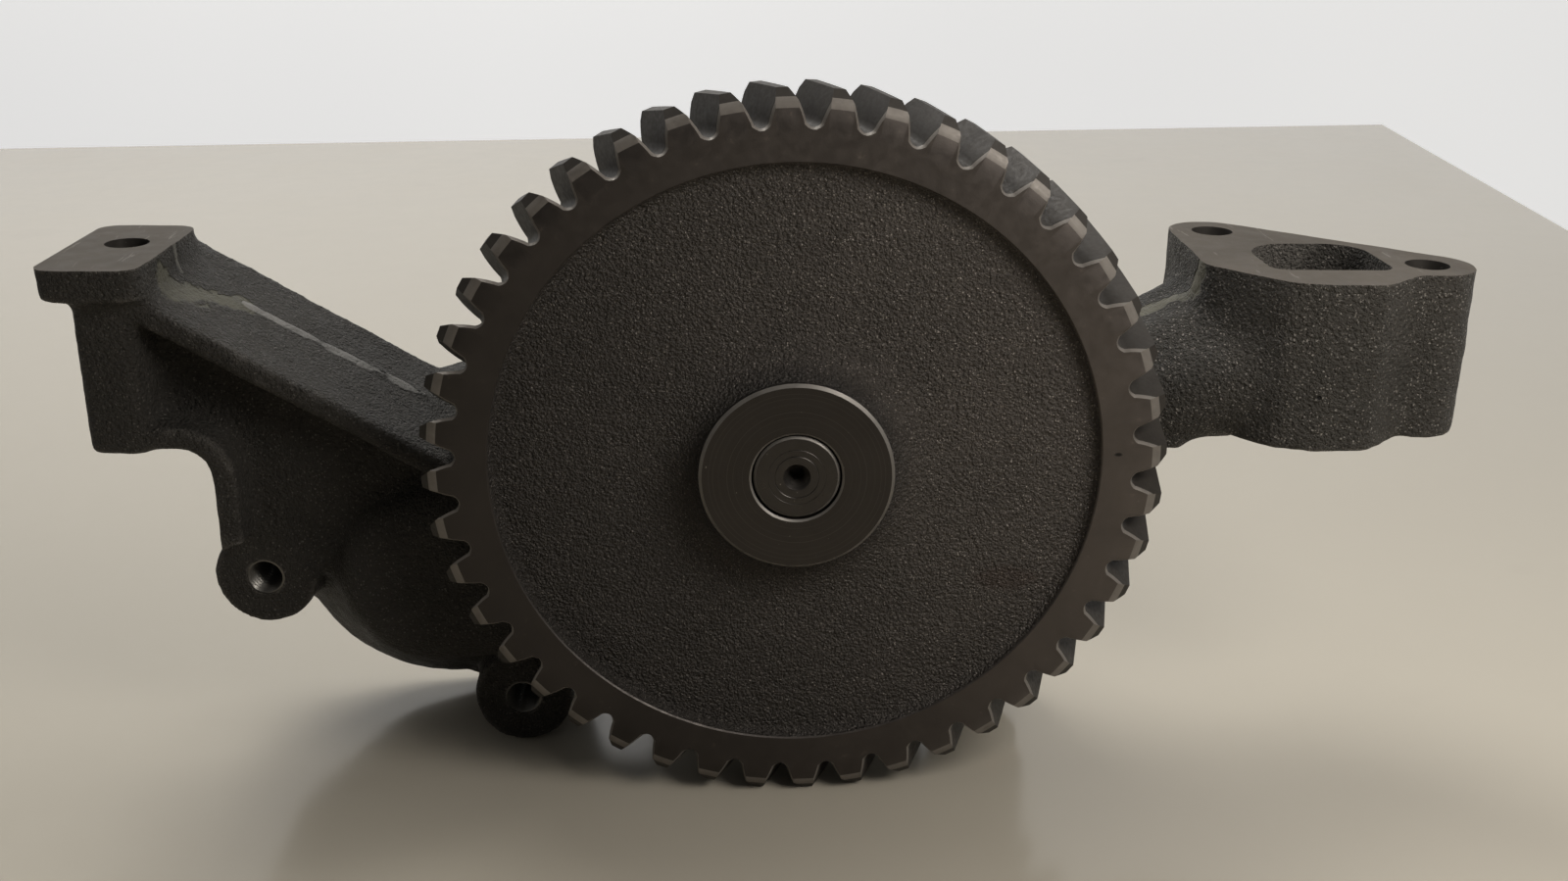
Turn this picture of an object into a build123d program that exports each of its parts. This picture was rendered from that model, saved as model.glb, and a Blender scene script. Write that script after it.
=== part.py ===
from build123d import *

import os
from math import acos, atan2, cos, hypot, pi, radians, sin, tan

# Engine oil pump: a gear pump of a heavy diesel engine, driven by a helical gear on its drive shaft.
# Millimetres. X is to the right and Z up, seen from the drive gear's side, and Y runs back along the shafts.
# The origin is on the drive shaft's axis, at the front face of the drive gear's rim.

# ---------------------------------------------------------------- fits
run_gap = 0.05            # radial running clearance of a shaft in its bush
end_gap = 0.1             # axial clearance at each end of a turning piece
tip_gap = 0.3             # gear tips to the pocket wall
bolt_gap = 0.5            # radial clearance of a bolt in its hole

# ---------------------------------------------------------------- drive gear
gear_teeth = 44
gear_module = 3.63        # normal module
gear_helix = 23.7         # degrees; the teeth turn anticlockwise towards the back
gear_pressure = 22.0      # degrees, in the plane of rotation
gear_width = 17.0
gear_addendum = 4.5
gear_dedendum = 4.2
gear_tooth_extra = 0.5    # added to the arc thickness of a tooth at the pitch circle
gear_phase = 1.95         # degrees from +X to the first tooth, at the front face
gear_root_rise = 1.1      # height of the rounded tooth root
front_bevel_depth = 2.9   # bevel across the tooth tips, along the shaft
front_bevel_height = 3.6
rear_bevel_depth = 1.2
rear_bevel_height = 3.0
rim_inner_r = 74.9
rim_fillet = 2.5
web_recess = 3.0          # front of the web behind the rim's front face
web_thickness = 7.0
rear_rim_inner_r = 71.0
neck_r = 37.0             # where the neck leaves the web
hub_r = 23.75
hub_front = 5.75          # hub face in front of the rim
hub_chamfer = 0.8
hub_land = 1.5            # straight part behind the hub's chamfer
hub_rear_r = 25.0
hub_step = 0.5            # end of the drive shaft inside the hub face

# ---------------------------------------------------------------- shafts, bushes
shaft_r = 11.0
shaft_chamfer = 0.7
centre_hole_r = 3.3
centre_hole_depth = 7.0
shaft_end_gap = 1.0       # shaft ends to the blind ends of the bush bores
bush_wall = 2.5
bush_chamfer = 0.8
thrust_thickness = 2.5
thrust_outer_r = 19.0
thrust_gap = 0.2          # radial clearance round the shaft

# ---------------------------------------------------------------- pumping gears
pump_teeth = 12
pump_module = 3.75
pump_pressure = 25.0
pump_addendum = 3.6
pump_dedendum = 4.7
pump_gear_width = 34.0
pump_backlash = 0.12      # taken off the arc thickness of each tooth
pump_root_rise = 0.8
key_width = 5.0
key_height = 5.0
key_length = 26.0

# ---------------------------------------------------------------- gear case
wall_front_y = 22.0       # machined face behind the drive gear
case_front_y = 28.0
pocket_front_y = 42.0
case_wall = 9.5           # round the gear pockets
case_flange_extra = 8.0
case_flange_depth = 20.0
front_boss_r = 24.0
machined_face_r = 34.0
case_edge_fillet = 4.0
parting_y = 30.0          # plane of the mould joint

# ---------------------------------------------------------------- rear cover
cover_thickness = 12.0
cover_boss_r = 19.0
cover_boss_depth = 12.0
cover_boss_wall = 4.0     # behind the blind bush bores
cover_boss_fillet = 3.0
cover_bolt_angles = (90.0, 35.0, 145.0)
cover_bolt_r = 4.0        # M8
cover_bolt_grip = 13.0    # thread in the body
tapping_allowance = 2.0   # hole beyond the bolt's end
cover_head_flats = 13.0
cover_head_height = 5.5
cover_washer_thickness = 1.6
cover_washer_r = 8.0
dowel_r = 4.0
dowel_length = 18.0
dowel_angle = 62.5
foot_width = 20.0
foot_x = 16.0

# ---------------------------------------------------------------- suction side
suction_x = -96.3
suction_z = -42.0
suction_bore_r = 22.0
suction_pitch_r = 44.3    # circle of the three tapped bosses
suction_first_angle = 61.2
suction_boss_r = 13.6
suction_flange_r = 43.5
suction_flange_y = 70.0   # machined face, towards the back
suction_flange_depth = 14.0
elbow_r = 26.0
elbow_front_y = 21.5
elbow_fillet = 12.0
elbow_wall = 6.0
bell_front_y = 33.0       # the elbow widens from here to its flange
duct_height = 26.0        # of both ducts
duct_front_y = 34.0
duct_depth = 23.0
duct_mouth_x = 24.0       # middle of each duct's mouth in the gear pockets
tapped_hole_r = 4.25      # M10 core hole

# ---------------------------------------------------------------- mounting faces
face_z = 45.0             # both machined faces, above the drive shaft
bolt_hole_r = 5.5         # clearance holes for M10

# left bracket
pad_x = -171.7
pad_y = 39.8
pad_width = 25.4
pad_depth = 50.0
pad_thickness = 8.5
pad_corner = 5.0
left_hole_x = -171.0
left_hole_y = 44.3
leg_x = -169.5
leg_width = 15.0
leg_front_y = 23.0
leg_rear_y = 62.0
leg_bottom_z = -3.0
leg_spot_r = 9.5          # machined spot under the bolt hole
leg_spot_depth = 1.2
rail_front_y = 20.0
rail_rear_y = 66.0
rail_slope = 30.0         # degrees below level, towards the gear case
rail_end_x = -10.0        # inside the gear case
rail_draft = 6.0          # fall of the rail's top from back to front
frame_rib = 6.0           # height of the rail and the rib that frame the web
rib_corner_round = 8.0
web_front_y = 31.0
web_rear_y = 40.0
rib_corner_x = -148.5     # inner line of the rib, from the leg to the first tapped boss

# right outlet flange
outlet_hole_1 = (116.5, 65.8)
outlet_hole_2 = (161.2, 28.5)
outlet_lug_r = 11.7
outlet_left_x = 104.0
outlet_corner_y = 28.0    # front end of the straight left side
outlet_front_y = 7.4
outlet_block_height = 42.5
outlet_corner = 5.0
port_centre = (136.2, 36.4)
port_size = (29.5, 28.0)
port_corner = 9.0
port_floor = 10.0
port_bulge = 6.0          # half width of the flat in front of the port
port_bulge_fall = 2.0     # the front falls back this much at the port's left end
arm_slope = 30.5          # degrees below level, towards the gear case
arm_front_y = 22.5
arm_rear_y = 60.0
arm_height = 39.4
arm_top_z = 39.4          # at the block's left side
arm_overlap = 10.0        # run of the arm into the outlet block
arm_round = 12.0          # the edge at the top and front
arm_rear_round = 5.0
arm_step_x = 100.8        # the arm's underside steps down here
arm_step = 3.4

# ---------------------------------------------------------------- relief valve, under the outlet arm
valve_x = 56.0
valve_y = 52.0
valve_bore_r = 8.5
valve_wall = 6.0
valve_seat_z = -29.0
valve_seat_r = 6.0
plunger_length = 20.0
plunger_wall = 2.5
plunger_crown = 4.0
plunger_lap = 0.5         # overlap of the plunger's bevel and its seat
plunger_gap = 0.05        # radial clearance of the plunger in its bore
plunger_lift = 8.0
plug_clearance = 2.0      # under the plunger when it is fully open
spill_r = 3.0
spring_wire_r = 0.8
spring_gap = 0.4          # between the spring and the plunger's bore
spring_turns = 8.5
plug_thread_length = 10.0
plug_flats = 22.0
plug_head_height = 7.0
plug_washer_thickness = 1.5
plug_washer_r = 12.5

# ---------------------------------------------------------------- core plug
core_plug_r = 13.0
core_plug_depth = 7.0
core_plug_wall = 1.6
core_plug_sink = 1.0      # rim of the plug above the block's underside

# ---------------------------------------------------------------- worked out
gear_pitch_r = gear_teeth * gear_module / (2 * cos(radians(gear_helix)))
gear_tip_r = gear_pitch_r + gear_addendum
gear_root_r = gear_pitch_r - gear_dedendum
gear_twist = gear_width * tan(radians(gear_helix)) / gear_pitch_r * 180 / pi
twist_steps = 1 + int(gear_twist * gear_teeth / 120)   # no step near half a tooth pitch
pump_pitch_r = pump_teeth * pump_module / 2
pump_tip_r = pump_pitch_r + pump_addendum
pump_root_r = pump_pitch_r - pump_dedendum
centre_distance = 2 * pump_pitch_r
driven_z = -centre_distance
middle_z = driven_z / 2
pocket_r = pump_tip_r + tip_gap
case_r = pocket_r + case_wall
flange_r = case_r + case_flange_extra
joint_y = pocket_front_y + pump_gear_width + 2 * end_gap
cover_rear_y = joint_y + cover_thickness
boss_rear_y = cover_rear_y + cover_boss_depth
bush_r = shaft_r + bush_wall
rear_bush_end_y = boss_rear_y - cover_boss_wall
thrust_front_y = wall_front_y - thrust_thickness
hub_rear_y = thrust_front_y - end_gap
shaft_front_y = -hub_front + hub_step
shaft_rear_y = rear_bush_end_y - shaft_end_gap
driven_bush_front_y = case_front_y + cover_boss_wall
driven_front_y = driven_bush_front_y + shaft_end_gap
pump_gear_front_y = pocket_front_y + end_gap
key_y = pump_gear_front_y + pump_gear_width / 2
cover_bolt_pitch_r = (pocket_r + flange_r) / 2
foot_z = -gear_tip_r
pad_bottom_z = face_z - pad_thickness
duct_rear_y = duct_front_y + duct_depth
suction_flange_front_y = suction_flange_y - suction_flange_depth
suction_angles = [suction_first_angle + 120 * i for i in range(3)]
boss_spots = [
    (suction_x + suction_pitch_r * cos(radians(a)), suction_z + suction_pitch_r * sin(radians(a)))
    for a in suction_angles
]
plunger_r = valve_bore_r - plunger_gap
plunger_bottom_z = valve_seat_z - plunger_length
plug_top_z = plunger_bottom_z - plunger_lift - plug_clearance
valve_bottom_z = plug_top_z - plug_thread_length
spring_r = plunger_r - plunger_wall - spring_gap - spring_wire_r
spring_top_z = valve_seat_z - plunger_crown
plug_seat_z = valve_bottom_z - plug_washer_thickness
block_bottom_z = face_z - outlet_block_height
port_floor_z = block_bottom_z + port_floor


lug_middle = ((outlet_hole_1[0] + outlet_hole_2[0]) / 2, (outlet_hole_1[1] + outlet_hole_2[1]) / 2)
lug_run = (outlet_hole_2[0] - outlet_hole_1[0], outlet_hole_2[1] - outlet_hole_1[1])
lug_distance = hypot(*lug_run)
lug_direction = atan2(lug_run[1], lug_run[0]) * 180 / pi


def front_plane(y):
    """Plane across the shafts at depth y, seen from the front: local x is X and local y is Z."""
    return Plane(origin=(0, y, 0), x_dir=(1, 0, 0), z_dir=(0, -1, 0))


def polar(radius, angle, centre=(0.0, 0.0)):
    return (centre[0] + radius * cos(angle), centre[1] + radius * sin(angle))


def gear_outline(teeth, pitch_r, pressure, root_r, tip_r, tooth_arc, root_rise, start, centre=(0.0, 0.0)):
    """Closed outline of an involute gear, drawn in the active BuildLine; start is its first tooth."""
    base_r = pitch_r * cos(radians(pressure))
    half_base = tooth_arc / (2 * pitch_r) + tan(radians(pressure)) - radians(pressure)
    foot_r = root_r + root_rise
    flank_r = max(base_r, foot_r)
    radii = [flank_r + (tip_r - flank_r) * i / 4 for i in range(5)]

    def half_angle(radius):
        roll = acos(min(1.0, base_r / radius))
        return half_base - (tan(roll) - roll)

    foot = half_angle(flank_r)
    step = 2 * pi / teeth
    for k in range(teeth):
        middle = radians(start) + k * step
        right = [polar(r, middle - half_angle(r), centre) for r in radii]
        left = [polar(r, middle + half_angle(r), centre) for r in reversed(radii)]
        next_right = polar(flank_r, middle + step - foot, centre)
        Spline(*right)
        ThreePointArc(right[-1], polar(tip_r, middle, centre), left[0])
        Spline(*left)
        if flank_r > foot_r:
            Line(left[-1], polar(foot_r, middle + foot, centre))
            this_foot = polar(foot_r, middle + foot, centre)
            next_foot = polar(foot_r, middle + step - foot, centre)
            ThreePointArc(this_foot, polar(root_r, middle + step / 2, centre), next_foot)
            Line(next_foot, next_right)
        else:
            ThreePointArc(left[-1], polar(root_r, middle + step / 2, centre), next_right)


def profile(*points):
    """Filled polygon in the active sketch, where its points say."""
    Polygon(*points, align=None)


def case_slot(radius):
    """Outline round both gear pockets, in the active sketch."""
    with Locations((0, middle_z)):
        SlotCenterToCenter(centre_distance, 2 * radius, rotation=90)


def cover_bolt_spots():
    """The eight bolts round the case: three over each pocket and one at each side."""
    spots = []
    for angle in cover_bolt_angles:
        x, z = polar(cover_bolt_pitch_r, radians(angle))
        spots += [(x, z), (x, driven_z - z)]
    return spots + [(cover_bolt_pitch_r, middle_z), (-cover_bolt_pitch_r, middle_z)]


def arm_middle_z(x):
    """Height of the outlet arm's middle line."""
    return arm_top_z - arm_height / 2 - (outlet_left_x - x) * tan(radians(arm_slope))


def duct_middle_z(x):
    """Height of the outlet duct's middle line."""
    end_x = port_centre[0] - port_size[0] / 2
    end_z = port_floor_z + duct_height / 2
    return middle_z + (end_z - middle_z) * (x - duct_mouth_x) / (end_x - duct_mouth_x)


def dowel_spots():
    x, z = polar(cover_bolt_pitch_r, radians(dowel_angle))
    return [(x, z), (-x, driven_z - z)]


parts = []


def keep(piece, label):
    piece.part.label = label
    parts.append(piece.part)


# ================================================================ drive gear
with BuildPart() as drive_gear:
    for i in range(twist_steps + 1):
        turn = gear_twist * i / twist_steps
        with BuildSketch(front_plane(gear_width * i / twist_steps)):
            with BuildLine():
                gear_outline(
                    gear_teeth, gear_pitch_r, gear_pressure, gear_root_r, gear_tip_r,
                    pi * gear_pitch_r / gear_teeth + gear_tooth_extra, gear_root_rise, gear_phase + turn,
                )
            make_face()
    loft(ruled=True)
    with BuildSketch(Plane.XY):
        profile(
            (0, 0),
            (gear_tip_r - front_bevel_height, 0),
            (gear_tip_r, front_bevel_depth),
            (gear_tip_r, gear_width - rear_bevel_depth),
            (gear_tip_r - rear_bevel_height, gear_width),
            (0, gear_width),
        )
    revolve(axis=Axis.Y, mode=Mode.INTERSECT)
    with BuildSketch(Plane.XY) as front_recess:
        profile(
            (hub_r, -1),
            (rim_inner_r, -1),
            (rim_inner_r, web_recess),
            (hub_r, web_recess),
        )
        fillet(front_recess.vertices().sort_by_distance((rim_inner_r, web_recess, 0))[0], rim_fillet)
    revolve(axis=Axis.Y, mode=Mode.SUBTRACT)
    with BuildSketch(Plane.XY) as rear_recess:
        profile(
            (hub_rear_r, gear_width + 1),
            (hub_rear_r, web_recess + web_thickness),
            (rear_rim_inner_r, web_recess + web_thickness),
            (rear_rim_inner_r, gear_width + 1),
        )
        fillet(rear_recess.vertices().group_by(Axis.Y)[0], rim_fillet)
    revolve(axis=Axis.Y, mode=Mode.SUBTRACT)
    with BuildSketch(Plane.XY):
        with BuildLine():
            neck_start = (neck_r, web_recess)
            neck_end = (hub_r, -hub_front + hub_chamfer + hub_land)
            TangentArc(neck_start, neck_end, tangent=(-1, 0))
            Polyline(
                neck_end,
                (hub_r, -hub_front + hub_chamfer),
                (hub_r - hub_chamfer, -hub_front),
                (0, -hub_front),
                (0, hub_rear_y),
                (hub_rear_r - hub_chamfer, hub_rear_y),
                (hub_rear_r, hub_rear_y - hub_chamfer),
                (hub_rear_r, web_recess + web_thickness - 1),
                (neck_r, web_recess + web_thickness - 1),
                neck_start,
            )
        make_face()
    revolve(axis=Axis.Y)
    with BuildSketch(front_plane(hub_rear_y)):
        Circle(shaft_r)
    extrude(amount=hub_rear_y + hub_front, mode=Mode.SUBTRACT)
    rims = drive_gear.edges().filter_by(GeomType.CIRCLE)
    bore_rims = rims.filter_by(lambda e: abs(e.radius - shaft_r) < 0.01)
    chamfer(bore_rims, hub_chamfer)
keep(drive_gear, "drive_gear")

# ================================================================ drive shaft
key_low = (Align.CENTER, Align.CENTER, Align.MIN)
with BuildPart() as drive_shaft:
    with BuildSketch(front_plane(shaft_rear_y)):
        Circle(shaft_r)
    extrude(amount=shaft_rear_y - shaft_front_y)
    chamfer(drive_shaft.edges(), shaft_chamfer)
    with BuildSketch(Plane.XY):
        profile(
            (0, shaft_front_y),
            (centre_hole_r, shaft_front_y),
            (centre_hole_r * 0.5, shaft_front_y + centre_hole_r * 0.87),
            (centre_hole_r * 0.5, shaft_front_y + centre_hole_depth),
            (0, shaft_front_y + centre_hole_depth),
        )
    revolve(axis=Axis.Y, mode=Mode.SUBTRACT)
    with Locations((0, key_y, shaft_r - key_height / 2)):
        Box(key_width, key_length, key_height, align=key_low, mode=Mode.SUBTRACT)
keep(drive_shaft, "drive_shaft")

with BuildPart() as pump_gear_key:
    with Locations((0, key_y, shaft_r - key_height / 2)):
        Box(key_width, key_length, key_height, align=key_low)
keep(pump_gear_key, "pump_gear_key")


def pump_gear(centre_z, start, with_key):
    """One of the pair of pumping gears, bored for its shaft; start is the direction of its first tooth."""
    with BuildPart() as gear:
        with BuildSketch(front_plane(pump_gear_front_y + pump_gear_width)):
            with BuildLine():
                gear_outline(
                    pump_teeth, pump_pitch_r, pump_pressure, pump_root_r, pump_tip_r,
                    pi * pump_module / 2 - pump_backlash, pump_root_rise, start, (0, centre_z),
                )
            make_face()
            with Locations((0, centre_z)):
                Circle(shaft_r, mode=Mode.SUBTRACT)
            if with_key:
                with Locations((0, centre_z + shaft_r)):
                    Rectangle(key_width, key_height, mode=Mode.SUBTRACT)
        extrude(amount=pump_gear_width)
    return gear


driving_pump_gear = pump_gear(0.0, -90.0, True)
keep(driving_pump_gear, "driving_pump_gear")
driven_pump_gear = pump_gear(driven_z, 90.0 + 180.0 / pump_teeth, False)
keep(driven_pump_gear, "driven_pump_gear")

with BuildPart() as driven_shaft:
    with BuildSketch(front_plane(shaft_rear_y)):
        with Locations((0, driven_z)):
            Circle(shaft_r)
    extrude(amount=shaft_rear_y - driven_front_y)
    chamfer(driven_shaft.edges(), shaft_chamfer)
keep(driven_shaft, "driven_shaft")


def bush(front_y, rear_y, centre_z):
    """Plain bearing bush between two depths."""
    with BuildPart() as ring:
        with BuildSketch(front_plane(rear_y)):
            with Locations((0, centre_z)):
                Circle(bush_r)
                Circle(shaft_r + run_gap, mode=Mode.SUBTRACT)
        extrude(amount=rear_y - front_y)
        rims = ring.edges().filter_by(GeomType.CIRCLE)
        chamfer(rims.filter_by(lambda e: abs(e.radius - bush_r) < 0.01), bush_chamfer)
    return ring


for label, front_y, rear_y, z in (
    ("body_drive_bush", wall_front_y, pocket_front_y, 0.0),
    ("body_driven_bush", driven_bush_front_y, pocket_front_y, driven_z),
    ("cover_drive_bush", joint_y, rear_bush_end_y, 0.0),
    ("cover_driven_bush", joint_y, rear_bush_end_y, driven_z),
):
    keep(bush(front_y, rear_y, z), label)

with BuildPart() as thrust_washer:
    with BuildSketch(front_plane(wall_front_y)):
        Circle(thrust_outer_r)
        Circle(shaft_r + thrust_gap, mode=Mode.SUBTRACT)
    extrude(amount=thrust_thickness)
keep(thrust_washer, "thrust_washer")

# ================================================================ forms of the body casting
with BuildPart() as case_form:
    with BuildSketch(front_plane(joint_y)):
        case_slot(case_r)
    extrude(amount=joint_y - case_front_y)
    fillet(case_form.faces().sort_by(Axis.Y)[0].edges(), case_edge_fillet)
    with BuildSketch(front_plane(joint_y)):
        case_slot(flange_r)
    extrude(amount=case_flange_depth)

with BuildPart() as elbow_form:
    with BuildSketch(front_plane(suction_flange_y)) as elbow_sketch:
        with Locations((suction_x, suction_z)):
            Circle(elbow_r)
        with Locations((0, middle_z)):
            Circle(case_r)
        make_hull()
    extrude(amount=suction_flange_y - elbow_front_y)
    fillet(elbow_form.faces().sort_by(Axis.Y)[0].edges(), elbow_fillet)

with BuildPart() as suction_flange_form:
    with BuildSketch(front_plane(suction_flange_y)):
        with Locations(*boss_spots):
            Circle(suction_boss_r)
        make_hull()
        with Locations((suction_x, suction_z)):
            Circle(suction_flange_r)
    extrude(amount=suction_flange_depth)
    with Locations(front_plane((bell_front_y + suction_flange_front_y) / 2)):
        with Locations((suction_x, suction_z)):
            Cone(suction_flange_r, elbow_r, suction_flange_front_y - bell_front_y)

boss_x, boss_z = boss_spots[1]
leg_left_x = leg_x - leg_width / 2
leg_right_x = leg_x + leg_width / 2


def bracket_outline(rise):
    """Outline of the left bracket, seen from the front; rise lifts the rail's top line."""
    profile(
        (leg_left_x, pad_bottom_z + rise),
        (leg_left_x, leg_bottom_z),
        (rib_corner_x, leg_bottom_z),
        (rib_corner_x, boss_z + suction_boss_r / 2),
        (boss_x, boss_z),
        (suction_x, suction_z),
        (rail_end_x, pad_bottom_z + rise - (rail_end_x - leg_right_x) * tan(radians(rail_slope))),
        (leg_right_x, pad_bottom_z + rise),
    )


def rail_under_z(x):
    """Underside of the rail's front edge."""
    return pad_bottom_z - frame_rib / cos(radians(rail_slope)) - (x - leg_right_x) * tan(radians(rail_slope))


with BuildPart() as bracket_form:
    for depth, rise in ((rail_front_y, 0.0), (rail_rear_y, rail_draft)):
        with BuildSketch(front_plane(depth)) as outline:
            bracket_outline(rise)
            fillet(outline.vertices().sort_by_distance((rib_corner_x, leg_bottom_z, 0))[0], rib_corner_round)
    loft(ruled=True)
    for depth, web_y in ((rail_front_y, web_front_y), (rail_rear_y, web_rear_y)):
        with BuildSketch(front_plane(depth)) as recess:
            inner_x = rib_corner_x + frame_rib
            inner_z = leg_bottom_z + frame_rib
            profile(
                (leg_right_x - frame_rib, inner_z),
                (inner_x, inner_z),
                (inner_x, boss_z + suction_boss_r),
                (boss_x, boss_z),
                (boss_x, boss_z - suction_boss_r),
                (suction_x, suction_z - elbow_r),
                (-case_r, suction_z - elbow_r),
                (-case_r, rail_under_z(-case_r)),
                (leg_right_x - frame_rib, rail_under_z(leg_right_x - frame_rib)),
            )
            inner_corner = recess.vertices().sort_by_distance((inner_x, inner_z, 0))[0]
            fillet(inner_corner, rib_corner_round + frame_rib)
        extrude(amount=depth - web_y, mode=Mode.SUBTRACT)
    with BuildSketch(front_plane(parting_y)):
        with Locations(*boss_spots):
            Circle(suction_boss_r)
    extrude(amount=parting_y - rail_front_y, mode=Mode.SUBTRACT)

with BuildPart() as outlet_block_form:
    with BuildSketch(Plane.XY.offset(block_bottom_z)) as block_outline:
        with Locations(lug_middle):
            SlotCenterToCenter(lug_distance, 2 * outlet_lug_r, rotation=lug_direction)
        profile(
            (outlet_hole_1[0] - outlet_lug_r, outlet_hole_1[1]),
            (outlet_left_x, outlet_corner_y),
            (port_centre[0] - port_size[0] / 2, outlet_front_y + port_bulge_fall),
            (port_centre[0] - port_bulge, outlet_front_y),
            (port_centre[0] + port_bulge, outlet_front_y),
            (outlet_hole_2[0], outlet_hole_2[1] - outlet_lug_r / 2),
            outlet_hole_2,
            outlet_hole_1,
        )
        fillet(block_outline.vertices().filter_by(lambda v: v.Y < outlet_corner_y + 1), outlet_corner)
    extrude(amount=outlet_block_height)

with BuildPart() as outlet_arm_form:
    arm_drop = outlet_left_x * tan(radians(arm_slope))
    with BuildSketch(front_plane(arm_rear_y)):
        profile(
            (outlet_left_x + arm_overlap, arm_top_z),
            (0, arm_top_z - arm_drop),
            (0, arm_top_z - arm_drop - arm_height),
            (arm_step_x - 2 * arm_step, arm_top_z - arm_height - arm_step),
            (arm_step_x, arm_top_z - arm_height - arm_step),
            (arm_step_x + arm_step, arm_top_z - arm_height),
            (outlet_left_x + arm_overlap, arm_top_z - arm_height),
        )
    extrude(amount=arm_rear_y - arm_front_y)
    slanted = outlet_arm_form.edges().filter_by(lambda e: abs(e.tangent_at(0).Z * e.tangent_at(0).X) > 0.1)
    top_edges = slanted.group_by(Axis.Z)[-1].sort_by(Axis.Y)
    fillet(top_edges[0], arm_round)
    fillet(top_edges[-1], arm_rear_round)
    slanted = outlet_arm_form.edges().filter_by(lambda e: abs(e.tangent_at(0).Z * e.tangent_at(0).X) > 0.1)
    fillet(slanted.group_by(Axis.Z)[0], arm_rear_round)

# ================================================================ pump body
with BuildPart() as pump_body:
    add(bracket_form.part)
    add(case_form.part)
    add(elbow_form.part)
    add(suction_flange_form.part)
    add(outlet_arm_form.part)
    add(outlet_block_form.part)
    with BuildSketch(Plane.XY.offset(leg_bottom_z)):
        with Locations((leg_x, (leg_front_y + leg_rear_y) / 2)):
            RectangleRounded(leg_width, leg_rear_y - leg_front_y, pad_corner)
    extrude(amount=face_z - leg_bottom_z)
    with BuildSketch(Plane.XY.offset(leg_bottom_z - leg_spot_depth)):
        with Locations((left_hole_x, left_hole_y)):
            Circle(leg_spot_r)
    extrude(amount=face_z - leg_bottom_z)
    with BuildSketch(Plane.XY.offset(pad_bottom_z)):
        with Locations((pad_x, pad_y)):
            RectangleRounded(pad_width, pad_depth, pad_corner)
    extrude(amount=pad_thickness)
    with BuildSketch(front_plane(suction_flange_y)):
        with Locations(*boss_spots):
            Circle(suction_boss_r)
    extrude(amount=suction_flange_y - parting_y)
    with BuildSketch(front_plane(case_front_y + 1)):
        Circle(front_boss_r)
    extrude(amount=case_front_y + 1 - wall_front_y)
    with BuildSketch(Plane.XY.offset(valve_bottom_z)):
        with Locations((valve_x, valve_y)):
            Circle(valve_bore_r + valve_wall)
    extrude(amount=arm_middle_z(valve_x) - valve_bottom_z)
    # machined clearance behind the drive gear's hub
    with BuildSketch(front_plane(wall_front_y)):
        Circle(machined_face_r)
    extrude(amount=wall_front_y, mode=Mode.SUBTRACT)
    # gear pockets and bush bores
    with BuildSketch(front_plane(joint_y)):
        with Locations((0, 0), (0, driven_z)):
            Circle(pocket_r)
    extrude(amount=joint_y - pocket_front_y, mode=Mode.SUBTRACT)
    with BuildSketch(front_plane(pocket_front_y)):
        Circle(bush_r)
    extrude(amount=pocket_front_y - wall_front_y, mode=Mode.SUBTRACT)
    with BuildSketch(front_plane(pocket_front_y)):
        with Locations((0, driven_z)):
            Circle(bush_r)
    extrude(amount=pocket_front_y - driven_bush_front_y, mode=Mode.SUBTRACT)
    # suction port and both ducts
    with BuildSketch(front_plane(suction_flange_y)):
        with Locations((suction_x, suction_z)):
            Circle(suction_bore_r)
    extrude(amount=suction_flange_y - elbow_front_y - elbow_wall, mode=Mode.SUBTRACT)
    with BuildSketch(front_plane(duct_rear_y)):
        with Locations((suction_x, suction_z)):
            Circle(suction_bore_r - elbow_wall / 2)
        with Locations((-duct_mouth_x, middle_z)):
            Circle(duct_height / 2)
        make_hull()
    extrude(amount=duct_depth, mode=Mode.SUBTRACT)
    with BuildSketch(front_plane(duct_rear_y)):
        with Locations((duct_mouth_x, middle_z)):
            Circle(duct_height / 2)
        with Locations((port_centre[0] - port_size[0] / 2, port_floor_z + duct_height / 2)):
            Circle(duct_height / 2)
        make_hull()
    extrude(amount=duct_depth, mode=Mode.SUBTRACT)
    with BuildSketch(Plane.XY.offset(port_floor_z)):
        with Locations(port_centre):
            RectangleRounded(*port_size, port_corner)
    extrude(amount=face_z - port_floor_z, mode=Mode.SUBTRACT)
    with BuildSketch(Plane.XY.offset(block_bottom_z)):
        with Locations(port_centre):
            Circle(core_plug_r)
    extrude(amount=port_floor_z - block_bottom_z, mode=Mode.SUBTRACT)
    # bolt holes through both mounting faces
    with Locations((left_hole_x, left_hole_y, face_z)):
        Hole(bolt_hole_r, depth=face_z - leg_bottom_z + leg_spot_depth)
    with Locations((*outlet_hole_1, face_z), (*outlet_hole_2, face_z)):
        Hole(bolt_hole_r, depth=2 * outlet_block_height)
    # tapped holes of the suction flange, right through their bosses
    with BuildSketch(front_plane(suction_flange_y)):
        with Locations(*boss_spots):
            Circle(tapped_hole_r)
    extrude(amount=suction_flange_y - parting_y, mode=Mode.SUBTRACT)
    # cover bolts and dowels
    with BuildSketch(front_plane(joint_y)):
        with Locations(*cover_bolt_spots()):
            Circle(cover_bolt_r)
    extrude(amount=cover_bolt_grip + tapping_allowance, mode=Mode.SUBTRACT)
    with BuildSketch(front_plane(joint_y)):
        with Locations(*dowel_spots()):
            Circle(dowel_r)
    extrude(amount=dowel_length / 2, mode=Mode.SUBTRACT)
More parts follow.
